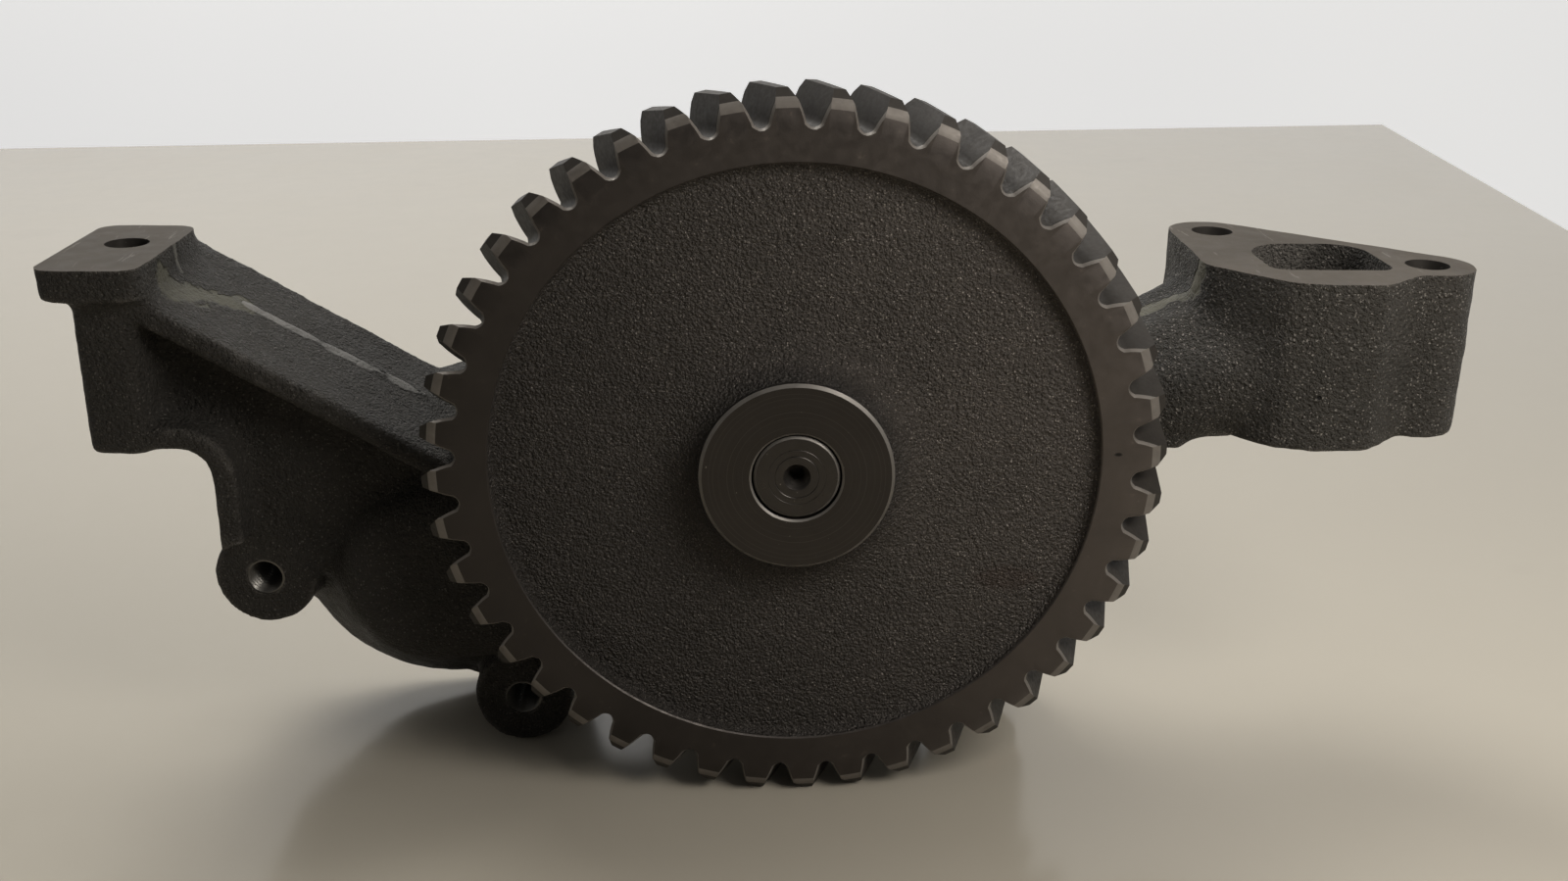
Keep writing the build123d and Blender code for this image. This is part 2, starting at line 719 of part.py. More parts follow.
    # relief valve bore, its seat and its spill hole
    with BuildSketch(Plane.XY.offset(valve_bottom_z)):
        with Locations((valve_x, valve_y)):
            Circle(valve_bore_r)
    extrude(amount=valve_seat_z - valve_bottom_z, mode=Mode.SUBTRACT)
    with BuildSketch(Plane.XY.offset(valve_seat_z)):
        with Locations((valve_x, valve_y)):
            Circle(valve_seat_r)
    extrude(amount=duct_middle_z(valve_x) - valve_seat_z, mode=Mode.SUBTRACT)
    with BuildSketch(front_plane(valve_y + valve_bore_r + valve_wall + 1)):
        with Locations((valve_x, valve_seat_z - 2 * spill_r)):
            Circle(spill_r)
    extrude(amount=valve_bore_r + valve_wall + 1, mode=Mode.SUBTRACT)
keep(pump_body, "pump_body")

# ================================================================ rear cover
with BuildPart() as rear_cover:
    with BuildSketch(front_plane(cover_rear_y)):
        case_slot(flange_r)
        with Locations((foot_x, foot_z)):
            Rectangle(foot_width, flange_r / 2, align=(Align.CENTER, Align.MIN))
    extrude(amount=cover_thickness)
    with BuildSketch(front_plane(boss_rear_y)):
        with Locations((0, 0), (0, driven_z)):
            Circle(cover_boss_r)
        make_hull()
    extrude(amount=cover_boss_depth)
    fillet(rear_cover.faces().sort_by(Axis.Y)[-1].edges(), cover_boss_fillet)
    with BuildSketch(front_plane(rear_bush_end_y)):
        with Locations((0, 0), (0, driven_z)):
            Circle(bush_r)
    extrude(amount=rear_bush_end_y - joint_y, mode=Mode.SUBTRACT)
    with BuildSketch(front_plane(cover_rear_y)):
        with Locations(*cover_bolt_spots()):
            Circle(cover_bolt_r + bolt_gap)
    extrude(amount=cover_thickness, mode=Mode.SUBTRACT)
    with BuildSketch(front_plane(joint_y + dowel_length / 2)):
        with Locations(*dowel_spots()):
            Circle(dowel_r)
    extrude(amount=dowel_length / 2, mode=Mode.SUBTRACT)
keep(rear_cover, "rear_cover")

head_front_y = cover_rear_y + cover_washer_thickness
with BuildPart() as cover_bolts:
    with BuildSketch(front_plane(head_front_y)):
        with Locations(*cover_bolt_spots()):
            Circle(cover_bolt_r)
    extrude(amount=head_front_y - joint_y + cover_bolt_grip)
    with BuildSketch(front_plane(head_front_y + cover_head_height)):
        with Locations(*cover_bolt_spots()):
            RegularPolygon(cover_head_flats / 2, 6, major_radius=False)
    extrude(amount=cover_head_height)
keep(cover_bolts, "cover_bolts")

with BuildPart() as cover_washers:
    with BuildSketch(front_plane(head_front_y)):
        with Locations(*cover_bolt_spots()):
            Circle(cover_washer_r)
            Circle(cover_bolt_r + bolt_gap / 2, mode=Mode.SUBTRACT)
    extrude(amount=cover_washer_thickness)
keep(cover_washers, "cover_washers")

with BuildPart() as cover_dowels:
    with BuildSketch(front_plane(joint_y + dowel_length / 2)):
        with Locations(*dowel_spots()):
            Circle(dowel_r)
    extrude(amount=dowel_length)
keep(cover_dowels, "cover_dowels")

# ================================================================ relief valve
with BuildPart() as relief_plunger:
    with BuildSketch(Plane.XY.offset(plunger_bottom_z)):
        with Locations((valve_x, valve_y)):
            Circle(plunger_r)
    extrude(amount=plunger_length)
    chamfer(relief_plunger.edges().group_by(Axis.Z)[-1], plunger_r - valve_seat_r - plunger_lap)
    with BuildSketch(Plane.XY.offset(plunger_bottom_z)):
        with Locations((valve_x, valve_y)):
            Circle(plunger_r - plunger_wall)
    extrude(amount=plunger_length - plunger_crown, mode=Mode.SUBTRACT)
keep(relief_plunger, "relief_plunger")

with BuildPart() as relief_spring:
    coil_height = spring_top_z - plug_top_z - 2 * spring_wire_r
    with BuildLine() as coil:
        Helix(
            pitch=coil_height / spring_turns, height=coil_height, radius=spring_r,
            center=(valve_x, valve_y, plug_top_z + spring_wire_r),
        )
    with BuildSketch(coil.line ^ 0):
        Circle(spring_wire_r)
    sweep(is_frenet=True)
keep(relief_spring, "relief_spring")

with BuildPart() as relief_plug:
    with BuildSketch(Plane.XY.offset(plug_seat_z)):
        with Locations((valve_x, valve_y)):
            Circle(valve_bore_r)
    extrude(amount=plug_top_z - plug_seat_z)
    with BuildSketch(Plane.XY.offset(plug_seat_z - plug_head_height)):
        with Locations((valve_x, valve_y)):
            RegularPolygon(plug_flats / 2, 6, major_radius=False)
    extrude(amount=plug_head_height)
keep(relief_plug, "relief_plug")

with BuildPart() as relief_plug_washer:
    with BuildSketch(Plane.XY.offset(plug_seat_z)):
        with Locations((valve_x, valve_y)):
            Circle(plug_washer_r)
            Circle(valve_bore_r, mode=Mode.SUBTRACT)
    extrude(amount=plug_washer_thickness)
keep(relief_plug_washer, "relief_plug_washer")

# ================================================================ core plug under the outlet port
with BuildPart() as outlet_core_plug:
    with BuildSketch(Plane.XY.offset(block_bottom_z + core_plug_sink)):
        with Locations(port_centre):
            Circle(core_plug_r)
    extrude(amount=core_plug_depth)
    with BuildSketch(Plane.XY.offset(block_bottom_z + core_plug_sink)):
        with Locations(port_centre):
            Circle(core_plug_r - core_plug_wall)
    extrude(amount=core_plug_depth - core_plug_wall, mode=Mode.SUBTRACT)
keep(outlet_core_plug, "outlet_core_plug")

if __name__ == "__main__":
    os.makedirs("parts", exist_ok=True)
    for piece in parts:
        export_step(piece, f"parts/{piece.label}.step")
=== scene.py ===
from math import acos, atan2, cos, degrees, pi, radians, sin, tan

import bpy
import numpy as np
from mathutils import Matrix, Vector


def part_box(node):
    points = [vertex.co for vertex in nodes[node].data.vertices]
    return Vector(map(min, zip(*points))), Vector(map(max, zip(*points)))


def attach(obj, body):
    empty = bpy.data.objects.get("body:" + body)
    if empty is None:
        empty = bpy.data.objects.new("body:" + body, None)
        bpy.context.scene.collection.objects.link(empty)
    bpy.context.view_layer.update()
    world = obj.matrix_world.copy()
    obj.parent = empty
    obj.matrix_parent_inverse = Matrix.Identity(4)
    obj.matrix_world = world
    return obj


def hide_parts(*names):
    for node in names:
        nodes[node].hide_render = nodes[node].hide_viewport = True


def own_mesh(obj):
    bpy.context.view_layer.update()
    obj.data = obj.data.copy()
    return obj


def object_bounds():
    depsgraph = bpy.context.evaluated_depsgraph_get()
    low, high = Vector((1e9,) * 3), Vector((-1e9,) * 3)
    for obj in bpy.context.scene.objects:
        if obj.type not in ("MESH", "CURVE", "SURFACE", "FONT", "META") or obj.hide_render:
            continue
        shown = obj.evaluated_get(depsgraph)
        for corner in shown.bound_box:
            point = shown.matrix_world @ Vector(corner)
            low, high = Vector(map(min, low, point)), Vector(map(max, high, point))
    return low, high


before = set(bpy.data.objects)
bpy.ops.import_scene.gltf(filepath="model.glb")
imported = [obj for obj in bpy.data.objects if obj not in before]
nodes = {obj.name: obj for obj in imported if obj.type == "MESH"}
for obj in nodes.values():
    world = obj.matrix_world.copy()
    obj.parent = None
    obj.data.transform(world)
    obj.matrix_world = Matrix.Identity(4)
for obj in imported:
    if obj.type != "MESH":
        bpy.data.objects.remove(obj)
cad_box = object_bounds()

# Lengths are in millimetres here, as on the pump's drawing, and become metres when a mesh is made.
MM = 0.001

# ---------------------------------------------------------------- the pump's own sizes
# drive gear
GEAR_TEETH = 44
GEAR_PITCH_R = 87.21
GEAR_TIP_R = 91.71
GEAR_ROOT_R = 83.01
GEAR_FOOT_R = 84.11
GEAR_PRESSURE = radians(22.0)
TOOTH_ARC = pi * GEAR_PITCH_R / GEAR_TEETH + 0.5
GEAR_PHASE = radians(1.95)
GEAR_WIDTH = 17.0
GEAR_TWIST = GEAR_WIDTH * tan(radians(23.7)) / GEAR_PITCH_R
FRONT_BEVEL = (2.9, 3.6)      # along the shaft, across the tooth tip
REAR_BEVEL = (1.2, 3.0)
RIM_INNER_R = 74.9
REAR_RIM_R = 71.0
RIM_FILLET = 2.5
WEB_FRONT = 3.0
WEB_REAR = 10.0
NECK_R = 37.0
NECK_ARC_R = 16.83
HUB_R = 23.75
HUB_FRONT = -5.75
HUB_REAR_R = 25.0
HUB_REAR = 19.4
HUB_CHAMFER = 0.8
SHAFT_R = 11.0
SHAFT_FRONT = -5.25
SHAFT_REAR = 95.2
SHAFT_CHAMFER = 0.7

# pump body
CASE_Z = -45.0                # the driven shaft, below the drive shaft
POCKET_R = 26.4
POCKET_FRONT = 42.0
BUSH_R = 13.5
RING_FACE = 22.0              # machined face behind the drive gear
RING_R = 34.0
FLANGE_R = 43.9
JOINT_Y = 76.2
COVER_REAR = 88.2
BUSH_END = 96.2
BOLT_PITCH_R = 35.15
SUCTION = (-96.3, -42.0)
SUCTION_BORE_R = 22.0
SUCTION_PITCH_R = 44.3
SUCTION_ANGLES = [radians(61.2 + 120 * i) for i in range(3)]
SUCTION_BOSS_R = 13.6
SUCTION_FLANGE_R = 43.5
SUCTION_FACE = 70.0
BOSS_FRONT = 30.0
TAPPED_R = 5.0
FACE_Z = 45.0
BOLT_HOLE_R = 5.5
LEFT_HOLE = (-171.0, 44.3)
LEFT_PAD = (-171.7, 39.8, 25.4, 50.0)
PAD_UNDERSIDE = -4.2
OUTLET_HOLES = [(116.5, 65.8), (161.2, 28.5)]
PORT = (135.3, 36.7, 31.4, 28.6)
PORT_CORNERS = (9.5, 12.5, 4.5, 4.0)   # right rear, left rear, left front, right front
CORE_PLUG = (136.2, 36.4)
PORT_FLOOR = 12.5
BLOCK_BOTTOM = 2.5
CORE_PLUG_R = 13.0
VALVE = (56.0, 52.0)
VALVE_BORE_R = 8.5
SPILL = (VALVE[0], -35.0)
SPRING_WIRE_R = 0.8
SPRING_TURNS = 8.5
DUCT_R = 13.0
DUCT_Y = (34.0, 57.0)
DUCT_END = (121.45, PORT_FLOOR + DUCT_R)


def polar(radius, angle, centre=(0.0, 0.0)):
    return (centre[0] + radius * cos(angle), centre[1] + radius * sin(angle))


SHAFT_SPOTS = [(0, 0), (0, CASE_Z)]
BOSS_SPOTS = [polar(SUCTION_PITCH_R, a, SUCTION) for a in SUCTION_ANGLES]
BOLT_SPOTS = [polar(BOLT_PITCH_R, radians(a)) for a in (90, 35, 145)]
BOLT_SPOTS += [(x, CASE_Z - z) for x, z in BOLT_SPOTS]
BOLT_SPOTS += [(BOLT_PITCH_R, CASE_Z / 2), (-BOLT_PITCH_R, CASE_Z / 2)]
DOWEL_X, DOWEL_Z = polar(BOLT_PITCH_R, radians(62.5))
DOWEL_SPOTS = [(DOWEL_X, DOWEL_Z), (-DOWEL_X, CASE_Z - DOWEL_Z)]


# ---------------------------------------------------------------- mesh building
def new_piece(name, points, faces, materials=(), face_slots=None):
    """A piece from points in millimetres."""
    mesh = bpy.data.meshes.new(name)
    mesh.from_pydata((np.asarray(points, float) * MM).tolist(), [], faces)
    for material in materials:
        mesh.materials.append(material)
    if face_slots is not None:
        mesh.polygons.foreach_set("material_index", np.asarray(face_slots, np.int32))
    mesh.validate()
    mesh.update()
    piece = bpy.data.objects.new(name, mesh)
    bpy.context.scene.collection.objects.link(piece)
    return piece


def ring_faces(rings, count, wrap_rings):
    """Quads between rings of equal count; the last ring joins the first where wrap_rings is true."""
    faces = []
    steps = rings if wrap_rings else rings - 1
    for i in range(steps):
        low, high = i * count, ((i + 1) % rings) * count
        for j in range(count):
            k = (j + 1) % count
            faces.append((low + j, low + k, high + k, high + j))
    return faces


def soften(piece, edge_angle):
    """Smooth shading, with edges sharper than the angle kept crisp."""
    piece.data.polygons.foreach_set("use_smooth", [True] * len(piece.data.polygons))
    piece.data.set_sharp_from_angle(angle=radians(edge_angle))


def turned_piece(name, profile, segments=96, centre=(0.0, 0.0), along="y", materials=(), bands=None):
    """A lathe-turned piece: profile is a closed loop of (radius, position along the axis)."""
    angles = np.arange(segments) * 2 * pi / segments
    points, first, faces, slots = [], [], [], []
    for radius, place in profile:
        first.append((len(points), radius > 1e-6))
        for a in angles if radius > 1e-6 else (0.0,):
            u, v = centre[0] + radius * cos(a), centre[1] + radius * sin(a)
            points.append((u, place, v) if along == "y" else (u, v, place))
    for i in range(len(profile)):
        (low, low_ring), (high, high_ring) = first[i], first[(i + 1) % len(profile)]
        for j in range(segments):
            k = (j + 1) % segments
            if low_ring and high_ring:
                faces.append((low + j, low + k, high + k, high + j))
            elif low_ring:
                faces.append((low + j, low + k, high))
            elif high_ring:
                faces.append((low, high + k, high + j))
            else:
                continue
            slots.append(bands[i] if bands else 0)
    return new_piece(name, points, faces, materials, slots)


def circle_points(centre, radius, count=64):
    return [polar(radius, 2 * pi * i / count, centre) for i in range(count)]


def hull(points):
    """Outline stretched round the points, anticlockwise."""
    ordered = sorted(set((round(u, 6), round(v, 6)) for u, v in points))

    def half(run):
        chain = []
        for p in run:
            while len(chain) > 1:
                (au, av), (bu, bv) = chain[-2], chain[-1]
                if (bu - au) * (p[1] - av) - (bv - av) * (p[0] - au) > 1e-9:
                    break
                chain.pop()
            chain.append(p)
        return chain[:-1]

    return half(ordered) + half(ordered[::-1])


def round_rectangle(x, y, width, depth, corners, count=12):
    """Outline with rounded corners: one radius, or four from the right rear corner on."""
    points = []
    radii = corners if isinstance(corners, tuple) else (corners,) * 4
    for i, (sx, sy) in enumerate(((1, 1), (-1, 1), (-1, -1), (1, -1))):
        corner = radii[i]
        centre = (x + sx * (width / 2 - corner), y + sy * (depth / 2 - corner))
        points += [polar(corner, pi / 2 * (i + j / count), centre) for j in range(count + 1)]
    return points


def prism(outline, low, high, along="y"):
    """Points and faces of a closed prism; the outline is (x, z) along y, or (x, y) along z."""
    count = len(outline)
    points = [(u, p, v) if along == "y" else (u, v, p) for p in (low, high) for u, v in outline]
    faces = [tuple(range(count)), tuple(range(2 * count - 1, count - 1, -1))]
    faces += [(j, j + count, (j + 1) % count + count, (j + 1) % count) for j in range(count)]
    if along != "y":
        faces = [f[::-1] for f in faces]
    return points, faces


def gather(*solids):
    """One list of points and faces from several closed solids."""
    points, faces = [], []
    for solid_points, solid_faces in solids:
        base = len(points)
        points += list(solid_points)
        faces += [tuple(base + i for i in f) for f in solid_faces]
    return points, faces


def drilling(spots, radius, low, high, along="y", count=64):
    return gather(*(prism(circle_points(s, radius, count), low, high, along) for s in spots))


def ring_solid(profile, centre, along, segments=48):
    """Points and faces of a turned ring: profile is a closed loop of (radius, position along the axis)."""
    points = []
    for radius, place in profile:
        for u, v in circle_points(centre, radius, segments):
            points.append((u, place, v) if along == "y" else (u, v, place))
    return points, ring_faces(len(profile), segments, True)


def settle(piece):
    """The piece's mesh with its modifiers worked in."""
    graph = bpy.context.evaluated_depsgraph_get()
    mesh = bpy.data.meshes.new_from_object(piece.evaluated_get(graph))
    piece.modifiers.clear()
    old, piece.data = piece.data, mesh
    bpy.data.meshes.remove(old)


def machine(piece, material, *cuts):
    """Takes each closed solid off the piece; the new faces get the material."""
    for points, faces in cuts:
        tool = new_piece("cutter", points, faces, [material])
        cut = piece.modifiers.new("cut", "BOOLEAN")
        cut.operation, cut.solver, cut.object = "DIFFERENCE", "MANIFOLD", tool
        cut.material_mode = "TRANSFER"
        settle(piece)
        bpy.data.objects.remove(tool)


def vertex_array(mesh, kind="co"):
    """One row of three values for each vertex."""
    values = np.zeros(len(mesh.vertices) * 3)
    mesh.vertices.foreach_get(kind, values)
    return values.reshape(-1, 3)


def edge_array(mesh):
    """The two vertices of each edge."""
    values = np.zeros(len(mesh.edges) * 2, np.int32)
    mesh.edges.foreach_get("vertices", values)
    return values.reshape(-1, 2)


def neighbour_mean(values, edges, links):
    """Mean of each vertex's neighbours."""
    near, far = edges[:, 0], edges[:, 1]
    out = np.empty_like(values)
    for axis, column in enumerate(values.T):
        out[:, axis] = np.bincount(near, column[far], len(values)) + np.bincount(far, column[near], len(values))
    return out / links[:, None]


def ripple(points, wavelength, seed):
    """Smooth unevenness between about -1 and 1, with bumps of about the wavelength."""
    waves = 28
    rng = np.random.default_rng(seed)
    directions = rng.normal(size=(waves, 3))
    directions /= np.linalg.norm(directions, axis=1)[:, None]
    lengths = wavelength * rng.uniform(0.7, 1.6, waves)
    phases = rng.uniform(0, 2 * pi, waves)
    total = np.zeros(len(points))
    for direction, length, phase in zip(directions, lengths, phases):
        total += np.sin(points @ direction * (2 * pi / length) + phase)
    return total / np.sqrt(waves / 2) / 1.6


def segment_distance(points, start, end):
    """Distance of each point from the straight line between two points."""
    start, run = np.array(start), np.array(end) - np.array(start)
    share = np.clip((points - start) @ run / (run @ run), 0, 1)
    return np.linalg.norm(points - start - share[:, None] * run, axis=1)


# unevenness that the mould leaves: height, width of the bumps, seed
MOULD_RIPPLES = ((0.13, 17.0, 3), (0.07, 6.0, 5), (0.035, 2.6, 8))
SKIN_SINK = 0.03


def cast_skin(name, node, fillers, finish, flash=()):
    """A node's solid as a casting: its holes filled, its inner corners filleted and its edges rounded."""
    voxel, fill_steps, round_steps = 0.95, 30, 5
    edge_share, late_edge_share, slide_share = 0.55, 0.04, 0.3
    source = nodes[node].data
    points, faces = gather(*fillers)
    base = len(source.vertices)
    joined = vertex_array(source).tolist() + (np.array(points) * MM).tolist()
    all_faces = [tuple(p.vertices) for p in source.polygons] + [tuple(base + i for i in f) for f in faces]
    mesh = bpy.data.meshes.new(name)
    mesh.from_pydata(joined, [], all_faces)
    piece = bpy.data.objects.new(name, mesh)
    bpy.context.scene.collection.objects.link(piece)
    remesh = piece.modifiers.new("remesh", "REMESH")
    remesh.mode, remesh.voxel_size = "VOXEL", voxel * MM
    settle(piece)
    mesh = piece.data
    edges = edge_array(mesh)
    links = np.bincount(edges.ravel(), minlength=len(mesh.vertices)).astype(float)
    co = vertex_array(mesh) / MM
    for step in range(fill_steps):
        mean = neighbour_mean(co, edges, links)
        if step % 3 == 0:
            mesh.vertices.foreach_set("co", (co * MM).ravel())
            mesh.update()
            normal = vertex_array(mesh, "normal")
        out = ((mean - co) * normal).sum(1)
        move = np.where(out > 0, out, out * (edge_share if step < round_steps else late_edge_share))
        slide = (mean - co) - out[:, None] * normal
        co += move[:, None] * normal + slide_share * slide
    normal = vertex_array(mesh, "normal")
    rough = sum(height * ripple(co, width, seed) for height, width, seed in MOULD_RIPPLES)
    for start, end, half_width, height in flash:
        ridge = np.exp(-(segment_distance(co, start, end) / half_width) ** 2)
        rough += height * ridge * (1.0 + 0.45 * ripple(co, 5.0, 11))
    co += (rough - SKIN_SINK)[:, None] * normal
    co = np.clip(co, np.array(cad_box[0]) / MM, np.array(cad_box[1]) / MM)
    mesh.vertices.foreach_set("co", (co * MM).ravel())
    mesh.update()
    mesh.materials.clear()
    mesh.materials.append(finish)
    return piece


def mark_wear(piece):
    """Stores edge_wear, from 0 in hollows to 1 on proud edges, on the piece's vertices."""
    reach = 3
    mesh = piece.data
    edges = edge_array(mesh)
    co, normal = vertex_array(mesh) / MM, vertex_array(mesh, "normal")
    links = np.maximum(np.bincount(edges.ravel(), minlength=len(co)), 1).astype(float)
    span = np.linalg.norm(co[edges[:, 0]] - co[edges[:, 1]], axis=1)
    mean_span = (
        np.bincount(edges[:, 0], span, len(co)) + np.bincount(edges[:, 1], span, len(co))
    ) / links
    bulge = -((neighbour_mean(co, edges, links) - co) * normal).sum(1) / np.maximum(mean_span, 0.3)
    wear = np.clip(0.5 + 2.2 * bulge, 0, 1)[:, None]
    for _ in range(reach):
        wear = 0.5 * wear + 0.5 * neighbour_mean(wear, edges, links)
    attribute = mesh.attributes.new("edge_wear", "FLOAT", "POINT")
    attribute.data.foreach_set("value", wear[:, 0].astype(np.float32))


# ---------------------------------------------------------------- material building
class Nodes:
    """Adds and links the nodes of one node tree."""

    def __init__(self, tree):
        self.tree = tree

    def add(self, kind, inputs=None, **settings):
        node = self.tree.nodes.new(kind)
        for key, value in settings.items():
            setattr(node, key, value)
        for key, value in (inputs or {}).items():
            self.feed(node.inputs[key], value)
        return node

    def feed(self, socket, value):
        if isinstance(value, bpy.types.NodeSocket):
            self.tree.links.new(value, socket)
        else:
            socket.default_value = value

    def math(self, operation, a, b=0.0, c=0.0, clamp=False):
        return self.add("ShaderNodeMath", {0: a, 1: b, 2: c}, operation=operation, use_clamp=clamp).outputs[0]

    def vector(self, operation, a, b=(0, 0, 0), scale=None):
        inputs = {0: a, 1: b}
        if scale is not None:
            inputs["Scale"] = scale
        node = self.add("ShaderNodeVectorMath", inputs, operation=operation)
        return node.outputs["Value" if operation in ("DOT_PRODUCT", "LENGTH", "DISTANCE") else "Vector"]

    def remap(self, value, low, high, to_low=0.0, to_high=1.0):
        ends = {"Value": value, "From Min": low, "From Max": high, "To Min": to_low, "To Max": to_high}
        return self.add("ShaderNodeMapRange", ends, interpolation_type="SMOOTHSTEP").outputs["Result"]

    def blend(self, share, a, b):
        # sockets 0, 6 and 7 are the share and the two colours
        return self.add("ShaderNodeMix", {0: share, 6: a, 7: b}, data_type="RGBA").outputs[2]

    def noise(self, vector, scale, detail=4.0, roughness=0.55, distortion=0.0):
        inputs = {"Vector": vector, "Scale": scale, "Detail": detail, "Roughness": roughness}
        return self.add("ShaderNodeTexNoise", {**inputs, "Distortion": distortion}).outputs["Fac"]

    def cells(self, vector, scale, feature="F1", **more):
        return self.add("ShaderNodeTexVoronoi", {"Vector": vector, "Scale": scale, **more}, feature=feature).outputs

    def axes(self, vector):
        """The X, Y and Z of a position."""
        return self.add("ShaderNodeSeparateXYZ", {0: vector}).outputs

    def jitter(self, place, scale, detail, reach):
        """The position pushed about at random, by up to half the reach."""
        sway = self.add("ShaderNodeTexNoise", {"Vector": place, "Scale": scale, "Detail": detail})
        centred = self.vector("SUBTRACT", sway.outputs["Color"], (0.5, 0.5, 0.5))
        return self.vector("ADD", place, self.vector("SCALE", centred, scale=reach))

    def place(self):
        """Position in the pump's own frame, in metres."""
        return self.add("ShaderNodeTexCoord").outputs["Object"]

    def effect(self, tree, **inputs):
        node = self.add("ShaderNodeGroup", node_tree=tree)
        for key, value in inputs.items():
            self.feed(node.inputs[key.replace("_", " ")], value)
        return node.outputs


def effect_group(name, inputs, outputs):
    """An empty shader node group that works on a place; returns its tree, its Nodes and its two ends."""
    tree = bpy.data.node_groups.new(name, "ShaderNodeTree")
    for label, kind, default in [("Place", "Vector", None), *inputs]:
        socket = tree.interface.new_socket(label, in_out="INPUT", socket_type="NodeSocket" + kind)
        if default is not None:
            socket.default_value = default
    for label, kind in outputs:
        tree.interface.new_socket(label, in_out="OUTPUT", socket_type="NodeSocket" + kind)
    made = Nodes(tree)
    return tree, made, made.add("NodeGroupInput").outputs, made.add("NodeGroupOutput").inputs


def build_casting_grain():
    """Sand-cast or blasted skin: rounded grains with pits between them, and a mask of painted glints on some grain
    facets.
    """
    tree, n, given, out = effect_group(
        "casting_grain",
        [("Grain Size", "Float", 0.001), ("Pits", "Float", 0.5)],
        [("Height", "Float"), ("Painted Glint", "Float")],
    )
    scale = n.math("DIVIDE", 1.0, given["Grain Size"])
    swayed = n.jitter(given["Place"], scale, 2.0, given["Grain Size"])
    grains = n.cells(swayed, scale, "SMOOTH_F1", Smoothness=0.6)["Distance"]
    facets = n.cells(swayed, n.math("MULTIPLY", scale, 1.25))
    fine = n.noise(given["Place"], n.math("MULTIPLY", scale, 1.9), 3.0, 0.6)
    pits = n.remap(n.noise(given["Place"], n.math("MULTIPLY", scale, 0.45), 2.0), 0.28, 0.42)
    height = n.math("ADD", n.math("SUBTRACT", 1.0, grains), n.math("MULTIPLY", fine, 0.8))
    height = n.math("ADD", height, n.math("MULTIPLY", pits, given["Pits"]))
    n.feed(out["Height"], height)
    # painted glints: some facets of the grain get a light mark in the colour, standing for highlights
    chosen = n.remap(n.add("ShaderNodeSeparateColor", {0: facets["Color"]}).outputs[0], 0.35, 0.95)
    n.feed(out["Painted Glint"], n.math("MULTIPLY", chosen, n.remap(facets["Distance"], 0.42, 0.12)))
    return tree


def build_edge_rub():
    """Mask of the proud edges where the dark skin is rubbed off, broken up along their length."""
    tree, n, given, out = effect_group(
        "edge_rub",
        [("Start", "Float", 0.62), ("Spread", "Float", 0.2), ("Break Up", "Float", 0.3)],
        [("Mask", "Float")],
    )
    wear = n.add("ShaderNodeAttribute", attribute_name="edge_wear", attribute_type="GEOMETRY").outputs["Fac"]
    uneven = n.math("SUBTRACT", n.noise(given["Place"], 260.0, 5.0, 0.65), 0.5)
    level = n.math("ADD", wear, n.math("MULTIPLY", uneven, given["Break Up"]))
    n.feed(out["Mask"], n.remap(level, given["Start"], n.math("ADD", given["Start"], given["Spread"])))
    return tree


def build_oil_mottle():
    """Cloudy dark and light patches, as dried oil and handling leave."""
    tree, n, given, out = effect_group(
        "oil_mottle",
        [("Patch Size", "Float", 0.02), ("Contrast", "Float", 0.5)],
        [("Mask", "Float"), ("Fine", "Float")],
    )
    scale = n.math("DIVIDE", 1.0, given["Patch Size"])
    broad = n.noise(given["Place"], scale, 5.0, 0.6, 0.6)
    small = n.noise(given["Place"], n.math("MULTIPLY", scale, 5.3), 4.0, 0.6)
    mixed = n.math("ADD", n.math("MULTIPLY", broad, 0.7), n.math("MULTIPLY", small, 0.3))
    half = n.math("DIVIDE", 0.25, n.math("ADD", given["Contrast"], 0.05))
    n.feed(out["Mask"], n.remap(mixed, n.math("SUBTRACT", 0.5, half), n.math("ADD", 0.5, half)))
    n.feed(out["Fine"], small)
    return tree


def build_ground_strip():
    """Mask of a narrow strip between two points where the mould joint was ground off."""
    tree, n, given, out = effect_group(
        "ground_strip",
        [("From", "Vector", None), ("To", "Vector", None),
         ("Half Width", "Float", 0.0012), ("Ragged", "Float", 0.0012)],
        [("Mask", "Float")],
    )
    here = n.jitter(given["Place"], 420.0, 4.0, given["Ragged"])
    run = n.vector("SUBTRACT", given["To"], given["From"])
    reach = n.vector("SUBTRACT", here, given["From"])
    share = n.math("DIVIDE", n.vector("DOT_PRODUCT", reach, run), n.vector("DOT_PRODUCT", run, run), clamp=True)
    nearest = n.vector("ADD", given["From"], n.vector("SCALE", run, scale=share))
    away = n.vector("DISTANCE", here, nearest)
    uneven = n.remap(n.noise(given["Place"], 75.0, 3.0), 0.3, 0.62, 0.35, 1.25)
    width = n.math("MULTIPLY", given["Half Width"], uneven)
    n.feed(out["Mask"], n.remap(away, n.math("MULTIPLY", width, 0.75), n.math("MULTIPLY", width, 1.15), 1.0, 0.0))
    return tree


